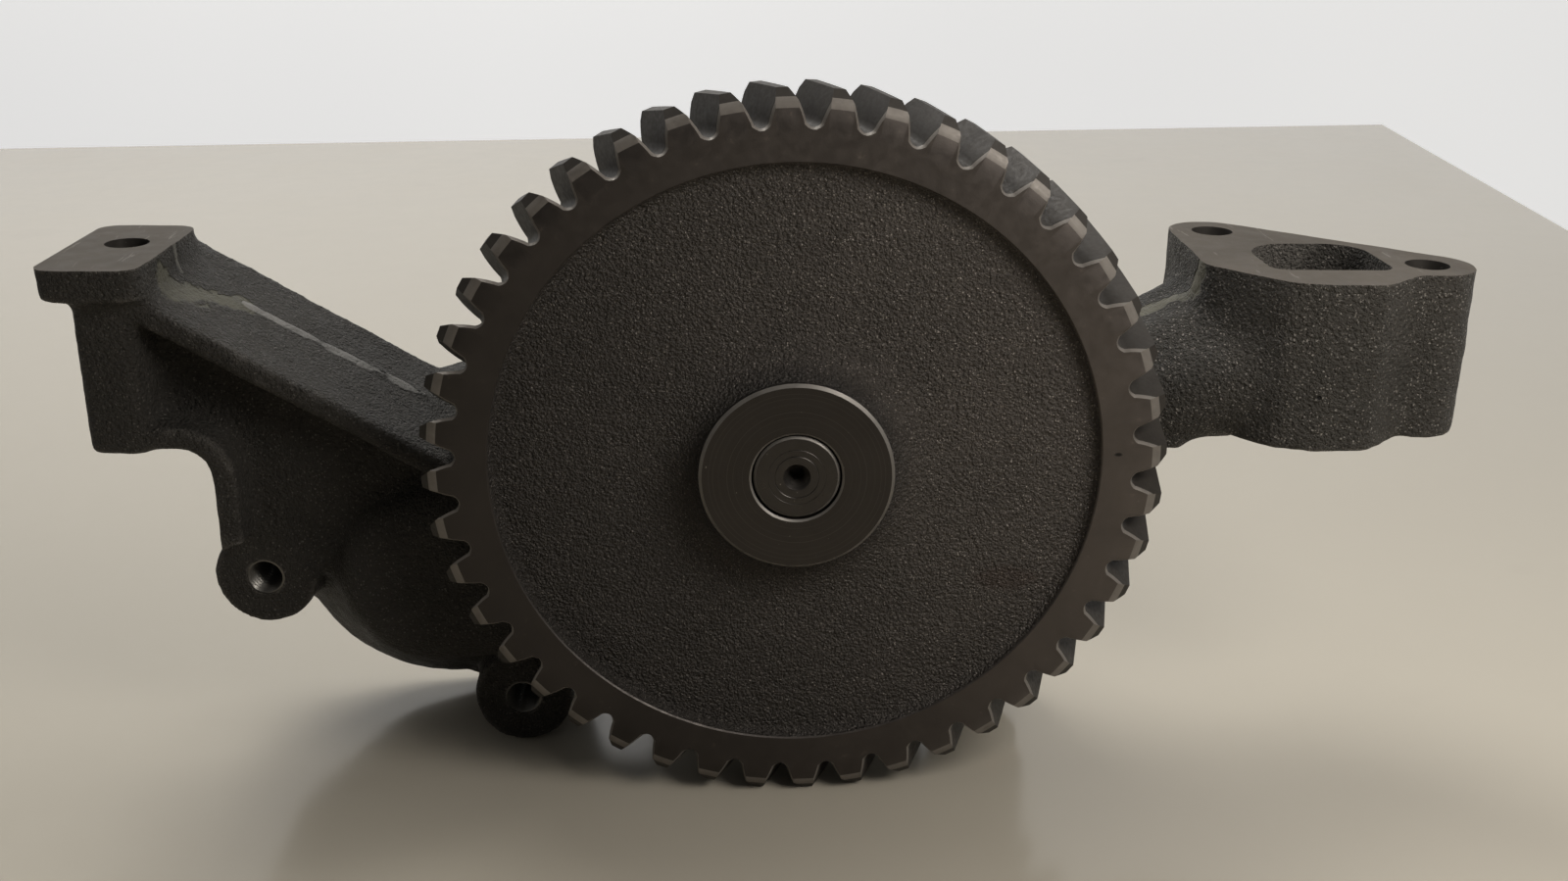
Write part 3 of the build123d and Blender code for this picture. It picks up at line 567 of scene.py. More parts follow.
def build_turning_marks():
    """Fine rings left by a lathe tool round the shafts' direction, and their height."""
    tree, n, given, out = effect_group(
        "turning_marks",
        [("Axis X", "Float", 0.0), ("Axis Z", "Float", 0.0), ("Pitch", "Float", 0.0004)],
        [("Height", "Float"), ("Radius", "Float")],
    )
    xyz = n.axes(given["Place"])
    x, z = n.math("SUBTRACT", xyz["X"], given["Axis X"]), n.math("SUBTRACT", xyz["Z"], given["Axis Z"])
    radius = n.math("SQRT", n.math("ADD", n.math("MULTIPLY", x, x), n.math("MULTIPLY", z, z)))
    turns = n.math("DIVIDE", radius, given["Pitch"])
    joined = n.add("ShaderNodeCombineXYZ", {0: turns, 1: n.math("MULTIPLY", xyz["Y"], 900.0)}).outputs[0]
    n.feed(out["Height"], n.noise(joined, 1.0, 3.0, 0.7))
    n.feed(out["Radius"], radius)
    return tree


def build_rust_bloom():
    """Mask of one small rusty or sooty bloom round a point."""
    tree, n, given, out = effect_group(
        "rust_bloom",
        [("Spot", "Vector", None), ("Stretch", "Vector", (1.0, 1.0, 1.0)), ("Size", "Float", 0.006)],
        [("Mask", "Float")],
    )
    near = n.vector("MULTIPLY", n.vector("SUBTRACT", given["Place"], given["Spot"]), given["Stretch"])
    away = n.math("DIVIDE", n.vector("LENGTH", near), given["Size"])
    cloud = n.noise(given["Place"], 380.0, 5.0, 0.7)
    level = n.math("SUBTRACT", n.math("ADD", cloud, 0.35), away)
    n.feed(out["Mask"], n.remap(level, -0.25, 0.35))
    return tree


casting_grain = build_casting_grain()
edge_rub = build_edge_rub()
oil_mottle = build_oil_mottle()
ground_strip = build_ground_strip()
turning_marks = build_turning_marks()
rust_bloom = build_rust_bloom()


def new_finish(name, metallic):
    """An empty material with its shader; returns the material, its Nodes and the shader's inputs."""
    material = bpy.data.materials.new(name)
    material.use_nodes = True
    n = Nodes(material.node_tree)
    material.node_tree.nodes.clear()
    shader = n.add("ShaderNodeBsdfPrincipled", {"Metallic": metallic})
    n.add("ShaderNodeOutputMaterial", {"Surface": shader.outputs[0]})
    return material, n, shader.inputs


def colour(r, g, b):
    return (r, g, b, 1.0)


def mottled_finish(name, metallic, patch, contrast, dark, light):
    """A finish that wavers between two tones; returns it with its place, its fine mottle and its tone."""
    material, n, shader = new_finish(name, metallic)
    place = n.place()
    mottle = n.effect(oil_mottle, Place=place, Patch_Size=patch, Contrast=contrast)
    return material, n, shader, place, mottle["Fine"], n.blend(mottle["Mask"], dark, light)


def lay_surface(n, shader, base, fine, smoothest, roughest, height=None, depth=0.0):
    """Feeds the shader its tone, a roughness that follows the fine mottle, and a bump depth metres deep."""
    n.feed(shader["Base Color"], base)
    n.feed(shader["Roughness"], n.remap(fine, 0.3, 0.7, smoothest, roughest))
    if height is not None:
        n.feed(shader["Normal"], n.add("ShaderNodeBump", {"Height": height, "Distance": depth}).outputs[0])


def cast_iron_finish(name, dark, light, rubbed, grain_size, grain_depth, strips=(), pits=()):
    """Dark bead-blasted casting, lighter where it is rubbed or the mould joint was ground, with painted glints on
    its grain and painted light that makes it lighter to the right.
    """
    material, n, shader, place, fine_mottle, base = mottled_finish(name, 0.05, 0.035, 0.6, dark, light)
    shader["Specular IOR Level"].default_value = 0.15
    grain = n.effect(casting_grain, Place=place, Grain_Size=grain_size, Pits=0.5)
    fine = n.effect(casting_grain, Place=place, Grain_Size=grain_size * 0.45, Pits=0.2)
    rub = n.effect(edge_rub, Place=place, Start=0.60, Spread=0.28, Break_Up=0.34)["Mask"]
    # painted light: the casting's colour is lighter to the right, over the outlet arm, and its painted glints are
    # stronger there
    rightward = n.axes(place)["X"]
    base = n.vector("SCALE", base, scale=n.remap(rightward, 0.06, 0.12, 1.0, 1.35))
    painted_light_share = n.remap(rightward, -0.02, 0.1, 0.25, 1.0)
    # painted glints: the rubbed tone is laid on some grain facets, more of it to the right
    painted_glint = n.math("MULTIPLY", grain["Painted Glint"], n.math("MULTIPLY", painted_light_share, 1.7), clamp=True)
    base = n.blend(painted_glint, base, rubbed)
    base = n.blend(n.math("MULTIPLY", rub, 0.3), base, rubbed)
    height = n.math("ADD", grain["Height"], n.math("MULTIPLY", fine["Height"], 0.4))
    for start, end, half_width, ragged, tone in strips:
        strip = n.effect(
            ground_strip, Place=place, From=Vector(start) * MM, To=Vector(end) * MM,
            Half_Width=half_width * MM, Ragged=ragged * MM,
        )["Mask"]
        scuffed = n.math("MULTIPLY", strip, n.remap(fine_mottle, 0.25, 0.6, 0.45, 1.0))
        base = n.blend(scuffed, base, tone)
        height = n.math("MULTIPLY", height, n.remap(strip, 0.0, 1.0, 1.0, 0.35))
    for spot, size in pits:
        centre = Vector(spot) * MM
        pit = n.effect(rust_bloom, Place=place, Spot=centre, Stretch=(1.0, 0.3, 1.0), Size=size * MM)["Mask"]
        base = n.blend(pit, base, colour(0.008, 0.0075, 0.007))
        height = n.math("MULTIPLY", height, n.remap(pit, 0.0, 1.0, 1.0, 0.0))
    lay_surface(n, shader, base, fine_mottle, 0.48, 0.64, height, grain_depth)
    return material


def machined_finish(name, dark, light, roughness, metallic, mark_depth=0.00002, patch=0.03, gloss=0.2):
    """Milled or turned metal with a warm oxide bloom and faint tool marks."""
    material, n, shader, place, fine, base = mottled_finish(name, metallic, patch, 0.55, dark, light)
    shader["Specular IOR Level"].default_value = gloss
    streaks = n.add("ShaderNodeMapping", {"Vector": place, "Scale": (1.0, 0.12, 1.0), "Rotation": (0, 0, 0.5)})
    milled = n.noise(streaks.outputs[0], 1800.0, 3.0, 0.6)
    scratches = n.remap(n.noise(streaks.outputs[0], 700.0, 2.0), 0.66, 0.72)
    base = n.blend(n.math("MULTIPLY", scratches, 0.35), base, colour(0.22, 0.20, 0.18))
    lay_surface(n, shader, base, fine, roughness - 0.07, roughness + 0.09, milled, mark_depth)
    return material


# casting of the pump body, and its machined faces
JOINT_FLASH = colour(0.165, 0.158, 0.145)
PALE_SCUFF = colour(0.080, 0.076, 0.056)
ARM_SCUFF = colour(0.115, 0.108, 0.082)
# where the mould joint's flash was ground: start, end, half width
RAIL_FLASH = ((-143.0, 44.8, 28.6), (-98.5, 46.5, 3.4))
PAD_FLASH = ((-159.2, 43.6, 45.0), (-158.4, 43.4, 37.5))
ARM_FLASH = [(104.4, 31.0, 43.5), (103.6, 33.5, 38.0), (100.6, 40.8, 32.4), (80.0, 45.5, 20.0)]
CAST_TONES = (colour(0.031, 0.029, 0.025), colour(0.053, 0.0485, 0.042), colour(0.24, 0.22, 0.195))
cast_body = cast_iron_finish(
    "cast_iron_body", *CAST_TONES, 0.00095, 0.0010,
    strips=(
        ((-160.0, 32.0, 38.0), (-144.0, 43.5, 28.8), 4.8, 6.0, PALE_SCUFF),
        (*RAIL_FLASH, 1.5, 1.3, JOINT_FLASH),
        (*PAD_FLASH, 0.9, 1.0, colour(0.12, 0.115, 0.10)),
        (*ARM_FLASH[0:2], 2.6, 1.8, ARM_SCUFF),
        (*ARM_FLASH[1:3], 3.4, 2.2, ARM_SCUFF),
        (*ARM_FLASH[2:4], 3.6, 2.4, ARM_SCUFF),
    ),
    pits=(((129.7, 7.5, 16.3), 0.6),),
)
cover_casting = cast_iron_finish("cast_iron_cover", *CAST_TONES, 0.00095, 0.0009)
machined_iron = machined_finish(
    "machined_cast_iron", colour(0.050, 0.043, 0.035), colour(0.098, 0.085, 0.070), 0.6, 0.0, gloss=0.06,
)
bored_iron = machined_finish("bored_cast_iron", colour(0.04, 0.036, 0.032), colour(0.085, 0.077, 0.068), 0.45, 0.6)


def painted_side_light(n, place):
    """Painted light: a scale on the gear's colour, darker to the lower left and lighter to the upper right, as its
    light falls.
    """
    xyz = n.axes(place)
    across = n.math("ADD", xyz["X"], n.math("MULTIPLY", xyz["Z"], 0.4))
    return n.remap(across, -0.10, 0.10, 0.56, 1.30)


def gear_rim_finish():
    """Hardened, oil-dark gear steel with a warm oxide bloom, a fine ground face and one dark nick."""
    material, n, shader, place, fine, base = mottled_finish(
        "gear_rim_steel", 0.7, 0.016, 0.5, colour(0.050, 0.043, 0.038), colour(0.088, 0.075, 0.065),
    )
    rings = n.effect(turning_marks, Place=place, Pitch=0.00035)
    base = n.blend(n.math("MULTIPLY", n.remap(fine, 0.62, 0.75), 0.5), base, colour(0.13, 0.105, 0.085))
    nick = n.effect(
        rust_bloom, Place=place, Spot=(0.0790, 0.0, 0.0040), Stretch=(0.75, 1.0, 1.5), Size=0.0009,
    )["Mask"]
    base = n.blend(nick, base, colour(0.012, 0.011, 0.010))
    # painted light: the rim's colour is darker to the lower left and lighter to the upper right
    base = n.vector("SCALE", base, scale=painted_side_light(n, place))
    speckle = n.noise(place, 2600.0, 3.0, 0.6)
    height = n.math("ADD", n.math("MULTIPLY", rings["Height"], 0.5), speckle)
    lay_surface(n, shader, base, fine, 0.36, 0.52, height, 0.000022)
    return material


def tooth_flank_finish():
    """Hobbed flanks, with marks along the tooth."""
    material, n, shader, place, fine, base = mottled_finish(
        "gear_tooth_steel", 0.35, 0.006, 0.6, colour(0.024, 0.0205, 0.017), colour(0.045, 0.039, 0.032),
    )
    shader["Specular IOR Level"].default_value = 0.3
    xyz = n.axes(place)
    lengthways = n.add("ShaderNodeCombineXYZ", {0: xyz["X"], 1: n.math("MULTIPLY", xyz["Y"], 0.15), 2: xyz["Z"]})
    hob = n.noise(lengthways.outputs[0], 1500.0, 3.0, 0.6)
    lay_surface(n, shader, base, fine, 0.52, 0.68, hob, 0.00003)
    return material


def tooth_bevel_finish():
    """Bright cut of the bevels and deburred edges."""
    material, n, shader, place, fine, base = mottled_finish(
        "gear_bevel_steel", 0.5, 0.005, 0.6, colour(0.125, 0.110, 0.095), colour(0.21, 0.19, 0.165),
    )
    cut = n.effect(turning_marks, Place=place, Pitch=0.0003)
    lay_surface(n, shader, base, fine, 0.5, 0.64, cut["Height"], 0.00003)
    return material


def gear_web_finish():
    """Shot-blasted web of the forging: coarse round grain, darker round the hub, with a rusty smudge."""
    material, n, shader, place, fine, base = mottled_finish(
        "gear_web_blasted", 0.55, 0.022, 0.5, colour(0.048, 0.042, 0.036), colour(0.074, 0.064, 0.055),
    )
    grain = n.effect(casting_grain, Place=place, Grain_Size=0.00075, Pits=0.35)
    # painted glints: light marks on the web's grain facets
    base = n.blend(grain["Painted Glint"], base, colour(0.27, 0.24, 0.21))
    radius = n.effect(turning_marks, Place=place, Pitch=0.001)["Radius"]
    base = n.blend(n.remap(radius, 0.029, 0.0235, 0.0, 0.6), base, colour(0.022, 0.020, 0.018))
    bloom = n.effect(
        rust_bloom, Place=place, Spot=(0.0535, 0.003, -0.0305), Stretch=(0.55, 1.0, 1.3), Size=0.0052,
    )["Mask"]
    base = n.blend(n.math("MULTIPLY", bloom, 0.4), base, colour(0.045, 0.027, 0.020))
    # painted light: the web's colour is darker to the lower left and lighter to the upper right
    base = n.vector("SCALE", base, scale=painted_side_light(n, place))
    lay_surface(n, shader, base, fine, 0.38, 0.52, grain["Height"], 0.00075)
    return material


def turned_steel_finish(name, dark, light, roughness, pitch=0.00045, depth=0.000018):
    """Lathe-turned steel with fine rings and a dark oil film."""
    material, n, shader, place, fine, base = mottled_finish(name, 0.75, 0.012, 0.5, dark, light)
    rings = n.effect(turning_marks, Place=place, Pitch=pitch)
    base = n.blend(n.remap(rings["Height"], 0.55, 0.75, 0.0, 0.25), base, colour(0.16, 0.145, 0.13))
    speck = n.remap(n.noise(place, 900.0, 2.0), 0.735, 0.76)
    base = n.blend(n.math("MULTIPLY", speck, 0.6), base, colour(0.30, 0.27, 0.24))
    lay_surface(n, shader, base, fine, roughness - 0.06, roughness + 0.08, rings["Height"], depth)
    return material


rim_steel = gear_rim_finish()
flank_steel = tooth_flank_finish()
bevel_steel = tooth_bevel_finish()
web_steel = gear_web_finish()
# name, darker tone, lighter tone, roughness, then what differs from the usual
hub_steel = turned_steel_finish("gear_hub_steel", colour(0.033, 0.029, 0.025), colour(0.048, 0.042, 0.037), 0.36)
shaft_steel = turned_steel_finish(
    "ground_shaft_steel", colour(0.036, 0.032, 0.028), colour(0.058, 0.052, 0.046), 0.33, 0.0007, 0.00003,
)
bright_cut = turned_steel_finish("bright_chamfer_steel", colour(0.15, 0.14, 0.125), colour(0.26, 0.24, 0.215), 0.5)
fastener_steel = machined_finish(
    "phosphated_fastener_steel", colour(0.035, 0.035, 0.034), colour(0.07, 0.069, 0.066), 0.42, 0.6, patch=0.008,
)
thread_steel = machined_finish(
    "tapped_thread_iron", colour(0.10, 0.095, 0.085), colour(0.20, 0.19, 0.17), 0.36, 0.7, patch=0.006,
)
spring_steel = machined_finish(
    "spring_steel", colour(0.09, 0.09, 0.092), colour(0.17, 0.17, 0.17), 0.3, 0.9, 0.00001, 0.004,
)
bush_bronze = machined_finish("bush_bronze", colour(0.30, 0.17, 0.075), colour(0.42, 0.25, 0.115), 0.3, 0.95)
copper_seal = machined_finish("copper_seal", colour(0.34, 0.13, 0.06), colour(0.50, 0.21, 0.10), 0.32, 0.95)


# ---------------------------------------------------------------- drive gear
FLANK_POINTS = 8              # points of the outline on each flank, on the tip and in the root
TIP_POINTS = 4
ROOT_POINTS = 6


def flank_half_angle(radius):
    """Half the angle that a tooth takes up at a radius, on its involute."""
    base_r = GEAR_PITCH_R * cos(GEAR_PRESSURE)
    half_base = TOOTH_ARC / (2 * GEAR_PITCH_R) + tan(GEAR_PRESSURE) - GEAR_PRESSURE
    roll = acos(min(1.0, base_r / radius))
    return half_base - (tan(roll) - roll)


def gear_section(y, tip_r, right=0.0, left=0.0, root=0.0):
    """Outline of all the teeth at depth y as (x, z) points, cut back on each flank and in the root."""
    step = 2 * pi / GEAR_TEETH
    radii = np.linspace(GEAR_FOOT_R - root, tip_r, FLANK_POINTS)

    def flank(cut):
        return [(r, flank_half_angle(r) - cut / cos(GEAR_PRESSURE) / r) for r in radii]

    right_flank, left_flank = flank(right), flank(left)
    tooth = [(r, -a) for r, a in right_flank]
    tooth += [(tip_r, a) for a in np.linspace(-right_flank[-1][1], left_flank[-1][1], TIP_POINTS + 2)[1:-1]]
    tooth += [(r, a) for r, a in reversed(left_flank)]
    foot, next_foot = left_flank[0][1], step - right_flank[0][1]
    for share in np.linspace(0, 1, ROOT_POINTS + 2)[1:-1]:
        sink = 1 - (2 * share - 1) ** 2
        radius = GEAR_FOOT_R - root - (GEAR_FOOT_R - GEAR_ROOT_R) * sink
        tooth.append((radius, foot + share * (next_foot - foot)))
    turn = GEAR_PHASE + GEAR_TWIST * y / GEAR_WIDTH
    return np.array([polar(r, turn + k * step + a) for k in range(GEAR_TEETH) for r, a in tooth])


def front_tip(y):
    """Tip radius at depth y, with the long bevel at the front."""
    return GEAR_TIP_R - FRONT_BEVEL[1] * (1 - min(y, FRONT_BEVEL[0]) / FRONT_BEVEL[0])


def rear_tip(y):
    """Tip radius at depth y, with the short bevel at the rear."""
    return GEAR_TIP_R - REAR_BEVEL[1] * max(0.0, (y - GEAR_WIDTH + REAR_BEVEL[0]) / REAR_BEVEL[0])


def fillet_run(centre_r, centre_y, radius, start, end, count=7):
    """Points of a profile's fillet, from one angle in degrees to another."""
    return [polar(radius, radians(a), (centre_r, centre_y)) for a in np.linspace(start, end, count)]


def dress_drive_gear():
    flank, bevel, rim, web, hub, chamfer_cut = range(6)
    # the front edge is deburred deeper on the right flank and the tip than on the left flank
    edge_cut = {"right": 0.8, "left": 0.3, "root": 0.45}
    # rings of teeth: points, depth, finish of the band that follows
    sections = [(gear_section(0.0, front_tip(0.0) - 0.7, **edge_cut), 0.0, bevel)]
    sections += [(gear_section(y, front_tip(y)), y, flank) for y in (0.8, 1.35, 2.1, 2.9)]
    sections += [(gear_section(y, GEAR_TIP_R), y, flank) for y in (4.5, 7.0, 9.5, 12.0, 14.5, 15.8)]
    for y, trim, band in ((16.6, 0.0, bevel), (17.0, 0.4, rim)):
        sections.append((gear_section(y, rear_tip(y) - trim, trim, trim, trim), y, band))
    front, rear = sections[0][0], sections[-1][0]
    front_angle = np.unwrap(np.arctan2(front[:, 1], front[:, 0]))
    rear_angle = np.unwrap(np.arctan2(rear[:, 1], rear[:, 0]))
    rear_angle += round((front_angle - rear_angle).mean() / (2 * pi)) * 2 * pi

    # the turned and as-cast surfaces, from the teeth's rear edge to the bore and back out in front
    rear_run = [(80.5, 17.0, rim), (76.0, 17.0, rim), (REAR_RIM_R + 0.6, 17.0, rim), (REAR_RIM_R, 16.4, web)]
    rear_fillet_y = WEB_REAR + RIM_FILLET
    for r, y in (
        *fillet_run(REAR_RIM_R - RIM_FILLET, rear_fillet_y, RIM_FILLET, 0, -90),
        *((r, WEB_REAR) for r in (62.0, 54.0, 46.0, 38.0)),
        *fillet_run(HUB_REAR_R + RIM_FILLET, rear_fillet_y, RIM_FILLET, 270, 180),
    ):
        rear_run.append((r, y, web))
    rear_run += [
        (HUB_REAR_R, 17.0, hub), (HUB_REAR_R, HUB_REAR - HUB_CHAMFER, chamfer_cut),
        (HUB_REAR_R - HUB_CHAMFER, HUB_REAR, hub), (18.0, HUB_REAR, hub),
        (SHAFT_R + HUB_CHAMFER, HUB_REAR, chamfer_cut), (SHAFT_R, HUB_REAR - HUB_CHAMFER, hub),
    ]
    front_run = [(SHAFT_R, HUB_FRONT + 0.5, chamfer_cut)]
    front_run += [(r, HUB_FRONT, hub) for r in (SHAFT_R + 0.5, 13.5, 16.0, 19.0)]
    front_run += [(HUB_R - HUB_CHAMFER, HUB_FRONT, chamfer_cut), (HUB_R, HUB_FRONT + HUB_CHAMFER, hub)]
    neck_end = degrees(atan2(-3.45 - WEB_FRONT + NECK_ARC_R, HUB_R - NECK_R))
    for r, y in (
        (HUB_R, -4.2),
        *fillet_run(NECK_R, WEB_FRONT - NECK_ARC_R, NECK_ARC_R, neck_end, 90, 14),
        *((r, WEB_FRONT) for r in np.linspace(40, 70, 7)),
        *fillet_run(RIM_INNER_R - RIM_FILLET, WEB_FRONT - RIM_FILLET, RIM_FILLET, 90, 0),
    ):
        front_run.append((r, y, web))
    front_run += [(RIM_INNER_R, 0.35, rim), (RIM_INNER_R + 0.35, 0.0, rim), (77.5, 0.0, rim), (80.5, 0.0, rim)]

    rings, bands = [], []
    for outline, y, band in sections:
        rings.append(np.stack([outline[:, 0], np.full(len(outline), y), outline[:, 1]], 1))
        bands.append(band)
    for run, angle in ((rear_run, rear_angle), (front_run, front_angle)):
        for r, y, band in run:
            rings.append(np.stack([r * np.cos(angle), np.full(len(angle), y), r * np.sin(angle)], 1))
            bands.append(band)
    # the start of the front bevel and the rear bevel across the tooth tips are cut bright as well
    count = len(front)
    slots = np.repeat(bands, count)
    place = np.arange(count) % (count // GEAR_TEETH)
    on_tip = (place >= FLANK_POINTS - 1) & (place < FLANK_POINTS + TIP_POINTS)
    for ring in (0, 1, 10, 11):
        slots[ring * count:(ring + 1) * count][on_tip] = bevel
    piece = new_piece(
        "drive_gear_dressed", np.concatenate(rings), ring_faces(len(rings), count, True),
        [flank_steel, bevel_steel, rim_steel, web_steel, hub_steel, bright_cut], slots,
    )
    soften(piece, 28)
    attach(piece, "drive_train")
    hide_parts("drive_gear")


def dress_drive_shaft():
    face, edge_r = SHAFT_FRONT, SHAFT_R - SHAFT_CHAMFER
    profile = [
        # centre hole
        (0.0, 1.75), (1.65, 1.75), (1.65, face + 2.87), (3.1, face + 0.35), (3.35, face + 0.05),
        # front face with its two turned grooves
        (3.6, face), (5.2, face), (5.35, face + 0.10), (5.5, face), (6.9, face), (7.0, face + 0.06), (7.1, face),
        # bright chamfer and the step down into the hub's bore
        (edge_r - 0.5, face), (edge_r - 0.4, face + 0.05),
        (SHAFT_R - 0.5, face + SHAFT_CHAMFER - 0.1), (SHAFT_R - 0.45, face + SHAFT_CHAMFER + 2.0),
        (SHAFT_R - 0.02, face + SHAFT_CHAMFER + 2.6), (SHAFT_R - 0.02, SHAFT_REAR - SHAFT_CHAMFER),
        (edge_r, SHAFT_REAR), (0.0, SHAFT_REAR),
    ]
    chamfer_row = 13
    bands = [int(row == chamfer_row) for row in range(len(profile))]
    piece = turned_piece("drive_shaft_dressed", profile, 128, materials=[shaft_steel, bright_cut], bands=bands)
    soften(piece, 25)
    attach(piece, "drive_train")
    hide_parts("drive_shaft")


# ---------------------------------------------------------------- pump body
FILL_OVER = 0.35              # the fillers are this much larger than the holes they close
FILL_EXTENSION = 3.0          # and reach this far past the machined faces
CLEAR = 120                   # a cut that leaves the casting ends here


def suction_outline():
    rim = circle_points(SUCTION, SUCTION_FLANGE_R, 96)
    for spot in BOSS_SPOTS:
        rim += circle_points(spot, SUCTION_BOSS_R, 48)
    return hull(rim)


def case_outline(radius):
    return hull([p for spot in SHAFT_SPOTS for p in circle_points(spot, radius, 96)])


def duct_outlines(over=0.0):
    """Outlines of the suction duct and the outlet duct, which start at the pump gears."""
    return [
        hull(circle_points(spot, radius + over) + circle_points((case_x, CASE_Z / 2), DUCT_R + over))
        for spot, radius, case_x in ((SUCTION, SUCTION_BORE_R - 3, -24.0), (DUCT_END, DUCT_R, 24.0))
    ]


def outlet_lugs(grow=0.0):
    """Outline round the two bolt lugs."""
    return hull([p for hole in OUTLET_HOLES for p in circle_points(hole, 11.7 + grow, 48)])


def outlet_wall(grow=0.0):
    """Outline of the wall round the port, without the right lug."""
    corners = ((109.2, 29.0), (123.0, 14.0), (130.5, 12.4), (141.5, 12.4))
    run = [p for corner in corners for p in circle_points(corner, 5.0 + grow, 24)]
    left_hole, right_hole = OUTLET_HOLES
    return hull(run + [(right_hole[0], 22.65 - grow), right_hole, left_hole, (104.8 - grow, left_hole[1])])


def duct_swell():
    """The outlet duct's round front, running up from the arm into the block."""
    ends = ((84.0, 40.0, 7.5, 17.6, 17.5), (126.0, 26.6, 20.0, 17.0, 15.5))
    points = []
    for x, y, z, deep, high in ends:
        points += [(x, y + deep * cos(a), z + high * sin(a)) for a in np.linspace(0, 2 * pi, 49)[:-1]]
    faces = ring_faces(2, 48, False) + [tuple(range(48))[::-1], tuple(range(48, 96))]
    return points, faces


def body_fillers():
    """Closed forms that fill the bores, holes and ducts before the skin is made, a little over their size."""
    over, ext = FILL_OVER, FILL_EXTENSION
    port = round_rectangle(*PORT[:2], PORT[2] + 2 * over, PORT[3] + 2 * over, PORT_CORNERS)
    # (outline, low, high) along z, then along y
    upright = [
        (round_rectangle(*LEFT_PAD, 5.0), 40.0, FACE_Z + ext),
        (outlet_lugs(), 34.0, FACE_Z + ext),
        (outlet_wall(), 34.0, FACE_Z + ext),
        (outlet_lugs(0.2), BLOCK_BOTTOM - 0.7, 30.0),
        (outlet_wall(0.2), BLOCK_BOTTOM - 0.7, 30.0),
        (round_rectangle(-170.9, 40.5, 15.4, 42.0, 4.0), -4.0, 38.0),
        (port, PORT_FLOOR - over, FACE_Z + ext),
        (circle_points(CORE_PLUG, CORE_PLUG_R + over), BLOCK_BOTTOM - ext, PORT_FLOOR + 1),
        (circle_points(LEFT_HOLE, BOLT_HOLE_R + over), PAD_UNDERSIDE, FACE_Z + ext),
        (circle_points(VALVE, VALVE_BORE_R + over), -71.0, -15.0),
    ]
    lengthways = [
        (suction_outline(), 60.0, SUCTION_FACE + ext),
        (case_outline(FLANGE_R), 62.0, JOINT_Y + ext),
        (circle_points((0, 0), 24.0), RING_FACE - ext, 32.0),
        (case_outline(POCKET_R + over), POCKET_FRONT - over, JOINT_Y + ext),
        (circle_points((0, 0), BUSH_R + over), RING_FACE - ext, 50.0),
        (circle_points((0, CASE_Z), BUSH_R + over), 30.0, 50.0),
        *((outline, DUCT_Y[0] - over, DUCT_Y[1] + over) for outline in duct_outlines(over)),
        (circle_points(SUCTION, SUCTION_BORE_R + over), 27.0, SUCTION_FACE + ext),
        (circle_points(SPILL, 3.4), 50.0, 66.5),
    ]
    return [
        *(prism(*form, "z") for form in upright),
        *(prism(*form) for form in lengthways),
        duct_swell(),
        drilling(OUTLET_HOLES, BOLT_HOLE_R + over, BLOCK_BOTTOM, FACE_Z + ext, "z"),
        drilling(BOSS_SPOTS, 4.6, BOSS_FRONT, SUCTION_FACE + ext),
        drilling(BOLT_SPOTS + DOWEL_SPOTS, 4.4, 60.0, JOINT_Y + ext),
    ]


def box_cut(x, y, z):
    """A box between two values on each axis."""
    outline = [(x[0], z[0]), (x[1], z[0]), (x[1], z[1]), (x[0], z[1])]
    return prism(outline, *y)


def dress_pump_body():
    flash = [(*RAIL_FLASH, 1.3, 0.42), (*PAD_FLASH, 0.9, 0.3)]
    flash += [(a, b, 2.2, 0.35) for a, b in zip(ARM_FLASH, ARM_FLASH[1:])]
    piece = cast_skin("pump_body_dressed", "pump_body", body_fillers(), cast_body, flash)
    machine(
        piece, machined_iron,
        box_cut((-200, 200), (-20, CLEAR), (FACE_Z, FACE_Z + 20)),
        box_cut((-190, -46), (SUCTION_FACE, CLEAR), (-140, 44)),
        box_cut((-45.9, 60), (JOINT_Y, CLEAR), (-120, 44)),
        prism(circle_points((0, 0), RING_R, 128), -20, RING_FACE),
        prism(circle_points(LEFT_HOLE, 9.0), -20, PAD_UNDERSIDE, "z"),
    )
    machine(
        piece, bored_iron,
        gather(
            prism(circle_points(LEFT_HOLE, BOLT_HOLE_R), -20, FACE_Z + 20, "z"),
            drilling(OUTLET_HOLES, BOLT_HOLE_R, BLOCK_BOTTOM - 20, FACE_Z + 20, "z"),
        ),
        drilling(BOSS_SPOTS, TAPPED_R, 10, CLEAR),
        prism(circle_points(SUCTION, SUCTION_BORE_R, 96), 27.5, CLEAR),
        drilling(SHAFT_SPOTS, POCKET_R, POCKET_FRONT, CLEAR, count=96),
        prism(circle_points((0, 0), BUSH_R), 0, POCKET_FRONT + 1),
        prism(circle_points((0, CASE_Z), BUSH_R), 32, POCKET_FRONT + 1),
        drilling(BOLT_SPOTS, 4.0, 61.2, CLEAR),
        drilling(DOWEL_SPOTS, 4.0, 67.2, CLEAR),
        prism(circle_points(VALVE, VALVE_BORE_R), -90, -29, "z"),
        prism(circle_points(VALVE, 6.0), -30, -12, "z"),
        prism(circle_points(SPILL, 3.0), 52, 90),
        prism(circle_points(CORE_PLUG, CORE_PLUG_R), -40, PORT_FLOOR + 0.5, "z"),
    )
    port = prism(round_rectangle(*PORT, PORT_CORNERS), PORT_FLOOR, FACE_Z + 20, "z")
    machine(piece, cast_body, port, *(prism(outline, *DUCT_Y) for outline in duct_outlines()))
    mark_wear(piece)
    soften(piece, 40)
    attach(piece, "housing")
    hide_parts("pump_body")


